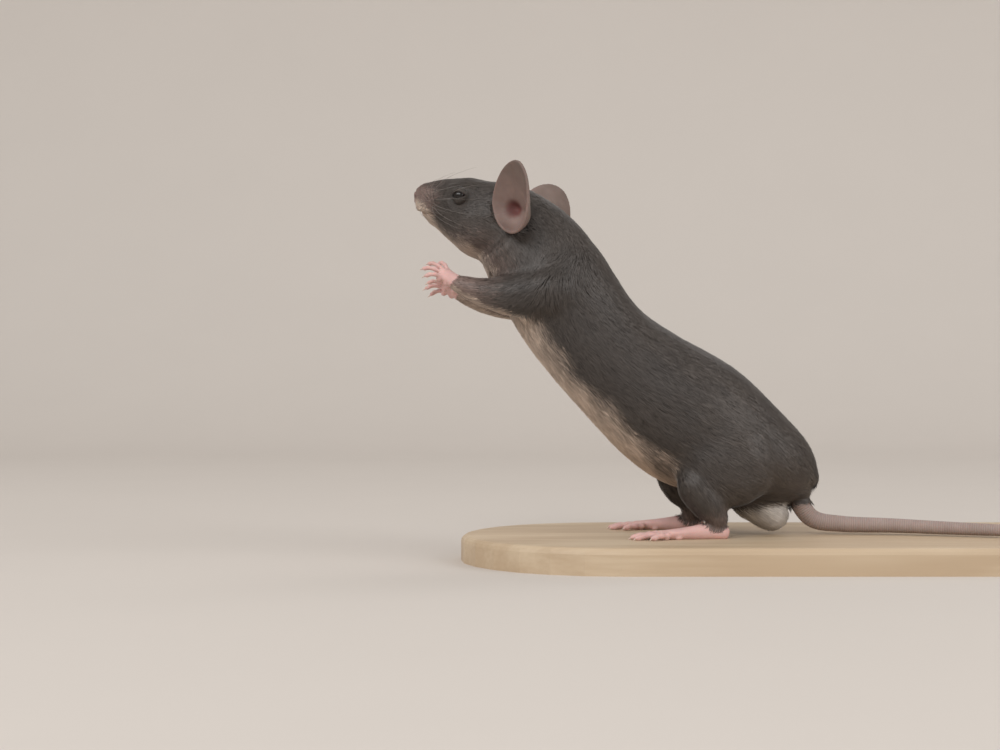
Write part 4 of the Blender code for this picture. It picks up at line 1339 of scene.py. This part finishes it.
def tuft_mesh(name, tufts, marks, spots):
    """One mesh of closed tufts of three sides, each with its marks and its patch of the unwrap."""
    root, middle, tip, across, up, middle_up, tip_up, half = tufts
    count = len(root)
    per_tuft = len(TUFT_REACH)
    wide = across * half[:, None]
    high = 0.55 * half[:, None]
    corners = np.stack(
        (
            root - wide * 0.7,
            root + wide * 0.7,
            root + up * high,
            middle - wide,
            middle + wide,
            middle + middle_up * high,
            tip,
        ),
        axis=1,
    )
    shade = np.stack((up, up, up, middle_up, middle_up, middle_up, tip_up), axis=1)
    lean = np.stack((-across, across, up * 0.5, -across, across, middle_up * 0.5, tip_up * 0.5), axis=1)
    faces = (TUFT_FACES[None] + per_tuft * np.arange(count)[:, None, None]).reshape(-1, 3)
    mesh = bpy.data.meshes.new(name)
    mesh.vertices.add(count * per_tuft)
    mesh.vertices.foreach_set("co", ((corners.reshape(-1, 3) + BODY_ORIGIN) * MM).astype(np.float32).ravel())
    mesh.loops.add(faces.size)
    mesh.loops.foreach_set("vertex_index", faces.ravel().astype(np.int32))
    mesh.polygons.add(len(faces))
    mesh.polygons.foreach_set("loop_start", np.arange(0, faces.size, 3, dtype=np.int32))
    mesh.update(calc_edges=True)
    mesh.shade_smooth()
    layer = mesh.uv_layers.new(name="OFBake")
    patches = spots[:, None] + PATCH * (TUFT_PATCH[TUFT_FACES.ravel()] - 0.5)
    layer.data.foreach_set("uv", patches.astype(np.float32).ravel())
    write_marks(mesh, {key: np.repeat(values, per_tuft) for key, values in marks.items()})
    write_marks(mesh, {"reach": np.tile(TUFT_REACH, count)})
    blended = unit(shade * NORMAL_BLEND + lean * (1 - NORMAL_BLEND)).reshape(-1, 3)
    mesh.normals_split_custom_set_from_vertices(blended.tolist())
    return mesh


def box_unwrap(points, normals):
    """Each point's place on six flat views of the shape from along the axes, packed three by two."""
    axis = np.argmax(np.abs(normals), axis=1)
    chart = axis * 2 + (np.take_along_axis(normals, axis[:, None], 1)[:, 0] > 0)
    others = np.array(((1, 2), (0, 2), (0, 1)))[axis]
    flat = np.take_along_axis(points, others, 1)
    spots = np.zeros((len(points), 2))
    scale = np.inf
    for index in range(6):
        inside = chart == index
        if inside.any():
            size = np.ptp(flat[inside], axis=0) + 0.1
            scale = min(scale, CHART_WIDE / size[0], CHART_HIGH / size[1])
    for index in range(6):
        inside = chart == index
        if inside.any():
            corner = np.array(((index % 3) / 3 + CHART_EDGE, (index // 3) / 2 + CHART_EDGE))
            spots[inside] = (flat[inside] - flat[inside].min(axis=0)) * scale + corner + PATCH
    return spots


def add_coat_piece(skin, ground, name, roots, width, rng):
    """Grows one piece's tufts and gives each its tone, with painted sheen streaks in it, and its share of the
    markings.
    """
    length_scale = bpy.context.scene.mouse_coat.length
    kept, tufts = grow(skin, ground, roots, width, length_scale, rng)
    roots = roots[kept]
    places = skin.points[roots]
    # the tone's streaks along the lie are partly the hairs' own tone and partly painted sheen, stronger on
    # the back half and haunch
    along = np.sum(places * skin.lie[roots], axis=1)
    streaks = places - 0.85 * skin.lie[roots] * along[:, None]
    streak_tone_and_sheen = 0.07 + 0.05 * ramp(-12.0, 2.0, places[:, 0])
    tone = 0.5 + streak_tone_and_sheen * (ripple(streaks, 2.2, 31) + ripple(streaks, 0.8, 32))
    tone = np.clip(tone + rng.normal(0.0, 0.12, len(roots)), 0.0, 1.0)
    marks = {"tone": tone}
    for key in ("buff", "pouch", "muzzle", "dark"):
        edge = skin.marks[key][roots]
        scatter = rng.normal(0.0, 0.16, len(roots)) * ramp(0.0, 0.15, edge) * ramp(1.0, 0.85, edge)
        marks[key] = np.clip(edge + scatter, 0.0, 1.0)
    mesh = tuft_mesh(name, tufts, marks, box_unwrap(places, skin.normal[roots]))
    finished_piece(name, mesh, bpy.data.materials["mouse_coat"], ())


def trim_coat(skin):
    """Sets how far hair stands out, and shortens it round the eyes, by bare skin and under the tail."""
    skin.loose = np.full(skin.count, 0.10)
    for middle, radius, amount in LOOSE_SPOTS:
        skin.loose += amount * ramp(radius, radius * 0.4, gap_to(skin.points, middle))
    skin.loose = skin.loose * (0.25 + 0.75 * ramp(1.0, 2.6, skin.length))
    eye_gap = gap_to_eyes(skin.points)
    skin.length = skin.length * ramp(1.6, 4.4, eye_gap) + EYE_HAIR * ramp(4.4, 1.6, eye_gap)
    skin.length = skin.length * ramp(0.95, 0.3, skin.fade)
    skin.length = skin.length * (0.45 + 0.55 * ramp(2.0, 5.0, gap_to(skin.points, SEAT)))
    skin.depth = skin.depth * (0.15 + 0.85 * ramp(1.4, 4.0, eye_gap))


def free_ground(skin, rng):
    """Where tufts may grow: not on bare skin, nose or open lids, nor where they would reach into an ear."""
    edge = 0.35 + 0.45 * rng.uniform(0.0, 1.0, skin.count) ** 1.5
    free = (skin.bare_ear < HAIRLESS_EAR) & (skin.fade < edge) & (skin.marks["nose"] < 0.4)
    free &= (skin.open < 0.02) & (skin.marks["lid"] < 0.5)
    for share in (0.25, 0.5, 0.75, 1.0):
        way = skin.lie * (skin.length * share)[:, None] + skin.normal * skin.depth[:, None]
        free &= in_bowls(skin.points + way, 1.15) < 0.2
    return free


# --- pieces -------------------------------------------------------------------------

figure_state = {}  # what one operator leaves for the next


def needed_skin():
    if "skin" not in figure_state:
        raise RuntimeError("Make the skin first.")
    return figure_state["skin"]


class MOUSE_OT_skin(Operator):
    """Make the skin, which stands for all packed flesh, ears and tail"""

    bl_idname = "mouse_figure.skin"
    bl_label = "Skin"

    def execute(self, context):
        skin = build_skin()
        figure_state["skin"] = skin
        smooth_piece("skin", shown_skin(skin), skin_finish(), FURRED_NODES + BARE_NODES)
        return {"FINISHED"}


class MOUSE_OT_coat(Operator):
    """Grow the coat's tufts over the skin"""

    bl_idname = "mouse_figure.coat"
    bl_label = "Coat"

    def execute(self, context):
        skin = needed_skin()
        sizes = context.scene.mouse_coat
        coat_finish()
        ground = Ground(skin)
        figure_state["ground"] = ground
        rng = np.random.default_rng(sizes.seed)
        trim_coat(skin)
        free = free_ground(skin, rng)
        width = sizes.tuft_width / MM * np.interp(skin.length, (0.3, 1.5, 4.0), (0.45, 0.65, 1.0))
        for name, (nodes, parted) in COAT_PIECES.items():
            spacing = sizes.head_spacing if name in ("coat_head", "coat_forelegs") else sizes.body_spacing
            candidates = np.flatnonzero(skin.owned(*nodes) * free)
            roots = candidates[one_per_cell(skin.points[candidates], spacing / MM, rng)]
            sides = {"": roots}
            if parted:
                places = skin.points[roots]
                level = (before_turn(places) if name == "coat_head" else places)[:, 1]
                sides = {"_left": roots[level < 0], "_right": roots[level >= 0]}
            for tag, some in sides.items():
                if len(some) > TUFT_LIMIT:
                    raise RuntimeError(f"{name}{tag} has {len(some)} tufts; the most is {TUFT_LIMIT}.")
                add_coat_piece(skin, ground, name + tag, some, width, rng)
        return {"FINISHED"}


class MOUSE_OT_eyes(Operator):
    """Set the two glossy dark eyes behind the lids"""

    bl_idname = "mouse_figure.eyes"
    bl_label = "Eyes"

    def execute(self, context):
        material = eye_finish()
        for name in SIDES:
            centre, radius, gaze, _, _ = eye_frame(name)
            bm = bmesh.new()
            bmesh.ops.create_uvsphere(bm, u_segments=48, v_segments=32, radius=radius)
            for vert in bm.verts:
                bulge = max(0.0, vert.co.z / radius - CORNEA_FROM) / CORNEA_SPAN
                vert.co.z += CORNEA_RISE * bulge**2 * (3 - 2 * bulge)
            look = Vector(gaze).to_track_quat("Z", "Y").to_matrix().to_4x4()
            bmesh.ops.transform(bm, matrix=Matrix.Translation(centre) @ look, verts=bm.verts)
            mesh = mesh_of(bm, f"eyeball_{name}")
            smooth_piece(f"eyeball_{name}", mesh, material, [f"eye_{name}"])
        return {"FINISHED"}


class MOUSE_OT_claws(Operator):
    """Make the curved claws of fingers and toes"""

    bl_idname = "mouse_figure.claws"
    bl_label = "Claws"

    def execute(self, context):
        skin = needed_skin()
        bm = bmesh.new()
        for place, heading, bend_to in skin.claws:
            rows = []
            for t in np.linspace(0.0, 1.0, CLAW_ROWS).tolist():
                spot = place + heading * (0.90 * t - 0.25) + bend_to * 0.36 * t * t
                size = 0.19 * (1 - t) ** 0.7 + 0.015
                height = max(spot.z, size + SOLE_LEVEL)
                rows.append((spot.x, spot.y, height, size * 1.15, size * 1.15, size * 0.8))
            add_loft(bm, rows, -bend_to, around=10)
        horn = horn_finish("claw_horn", context.scene.mouse_colours.claw)
        smooth_piece("claws", mesh_of(bm, "claws"), horn)
        return {"FINISHED"}


class MOUSE_OT_whiskers(Operator):
    """Make the whiskers of the muzzle, cheeks and brows"""

    bl_idname = "mouse_figure.whiskers"
    bl_label = "Whiskers"

    def execute(self, context):
        needed_skin()
        rng = np.random.default_rng(context.scene.mouse_coat.seed + 1)
        bm = bmesh.new()
        for name in SIDES:
            for row in range(5):
                for column in range(5 if row in (1, 2, 3) else 4):
                    x = -50.0 - 0.62 * column + rng.uniform(-0.1, 0.1)
                    z = 66.3 - 0.72 * row - 0.12 * column
                    length = (21.0 - 3.4 * column) * rng.uniform(0.88, 1.1)
                    way = (0.30 - 0.10 * column, 0.92, 0.16 - 0.11 * row)
                    add_whisker(bm, name, (x, 6.0, z), way, length, 0.036 - 0.003 * column)
            for x, z, length in FACE_HAIRS:
                add_whisker(bm, name, (x, 8.0, z), (0.55, 0.8, 0.1), length, 0.028)
        hair = horn_finish("whisker_hair", context.scene.mouse_colours.whisker)
        smooth_piece("whiskers", mesh_of(bm, "whiskers"), hair)
        return {"FINISHED"}


def add_whisker(bm, name, outside, way, length, radius):
    """A tapered hair whose root is on the skin nearest to a place outside the head's named side."""
    root = figure_state["ground"].tree.find_nearest(head_place(*on_side(outside, name)))[0]
    way = head_way(*on_side(way, name))
    back = head_way(1.0, 0.0, -0.12)
    rows = []
    for t in np.linspace(0.0, 1.0, WHISKER_ROWS).tolist():
        spot = root + way * length * (t - 0.02) + back * length * 0.34 * t**2.2
        size = radius * (1 - t) ** 0.8 + 0.008
        rows.append((*spot, size, size, size))
    add_loft(bm, rows, (0.0, 0.0, 1.0), around=6)


class MOUSE_OT_base(Operator):
    """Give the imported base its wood"""

    bl_idname = "mouse_figure.base"
    bl_label = "Base"

    def execute(self, context):
        base = frame["nodes"]["stand_base"]
        base.data.materials.clear()
        base.data.materials.append(wood_finish())
        return {"FINISHED"}


class MOUSE_OT_stage(Operator):
    """Make floor, lights and camera"""

    bl_idname = "mouse_figure.stage"
    bl_label = "Stage"

    def execute(self, context):
        settings = context.scene.mouse_stage
        add_backdrop()
        add_world(settings.sky)
        for name, place, wide, high, power in LAMPS:
            add_lamp(name, place, wide, high, getattr(settings, power))
        camera = link_object("camera", bpy.data.cameras.new("camera"))
        camera.location = (Vector(CAMERA_AT) + Vector(BODY_ORIGIN)) * MM
        camera.rotation_euler = (math.pi / 2, 0.0, 0.0)
        camera.data.sensor_width = CAMERA_SENSOR
        camera.data.lens = CAMERA_LENS
        camera.data.clip_start = 0.01
        context.scene.camera = camera
        context.scene.view_settings.view_transform = "Standard"
        return {"FINISHED"}


def add_backdrop():
    """A floor that curves up into a wall behind the figure."""
    front, bend, high, radius, half_wide = -4.0, 0.45, 2.0, 0.35, 4.0
    profile = [(front, 0.0), (bend, 0.0)]
    for step in range(1, 17):
        angle = math.pi / 2 * step / 16
        profile.append((bend + radius * math.sin(angle), radius * (1 - math.cos(angle))))
    profile.append((bend + radius, high))
    bm = bmesh.new()
    rows = [[bm.verts.new((side * half_wide, y, z)) for side in (-1, 1)] for y, z in profile]
    for low, up in zip(rows, rows[1:]):
        bm.faces.new((low[0], low[1], up[1], up[0]))
    mesh = bpy.data.meshes.new("backdrop")
    bm.to_mesh(mesh)
    bm.free()
    mesh.materials.append(backdrop_finish())
    mesh.shade_smooth()
    link_object("backdrop", mesh)


def add_world(strength):
    world = bpy.data.worlds.new("soft_sky")
    world.use_nodes = True
    background = world.node_tree.nodes["Background"]
    background.inputs["Color"].default_value = (1.0, 0.97, 0.93, 1.0)
    background.inputs["Strength"].default_value = strength
    bpy.context.scene.world = world


def add_lamp(name, place, wide, high, power):
    lamp = bpy.data.lights.new(name, "AREA")
    lamp.shape = "RECTANGLE"
    lamp.size = wide
    lamp.size_y = high
    lamp.energy = power
    obj = link_object(name, lamp)
    obj.location = place
    aim = Vector((0.0, 0.0, 0.04)) - Vector(place)
    obj.rotation_euler = aim.to_track_quat("-Z", "Y").to_euler()


class MOUSE_PT_figure(Panel):
    """Lists the figure's pieces and the stage"""

    bl_idname = "MOUSE_PT_figure"
    bl_label = "House Mouse"
    bl_space_type = "VIEW_3D"
    bl_region_type = "UI"
    bl_category = "Mouse"

    def draw(self, context):
        layout = self.layout
        for operator in OPERATORS:
            layout.operator(operator.bl_idname)
        for group in (context.scene.mouse_coat, context.scene.mouse_colours, context.scene.mouse_stage):
            box = layout.box()
            for name in group.__annotations__:
                box.prop(group, name)


OPERATORS = (
    MOUSE_OT_skin,
    MOUSE_OT_coat,
    MOUSE_OT_eyes,
    MOUSE_OT_claws,
    MOUSE_OT_whiskers,
    MOUSE_OT_base,
    MOUSE_OT_stage,
)
SETTINGS = {"mouse_colours": MouseColours, "mouse_coat": MouseCoat, "mouse_stage": MouseStage}


def register():
    for group in SETTINGS.values():
        bpy.utils.register_class(group)
    for name, group in SETTINGS.items():
        setattr(bpy.types.Scene, name, PointerProperty(type=group))
    for entry in (*OPERATORS, MOUSE_PT_figure):
        bpy.utils.register_class(entry)


def unregister():
    for entry in (MOUSE_PT_figure, *reversed(OPERATORS)):
        bpy.utils.unregister_class(entry)
    for name, group in SETTINGS.items():
        delattr(bpy.types.Scene, name)
        bpy.utils.unregister_class(group)


def main():
    register()
    bpy.ops.mouse_figure.skin()
    bpy.ops.mouse_figure.coat()
    bpy.ops.mouse_figure.eyes()
    bpy.ops.mouse_figure.claws()
    bpy.ops.mouse_figure.whiskers()
    bpy.ops.mouse_figure.base()
    bpy.ops.mouse_figure.stage()


if __name__ == "__main__":
    main()
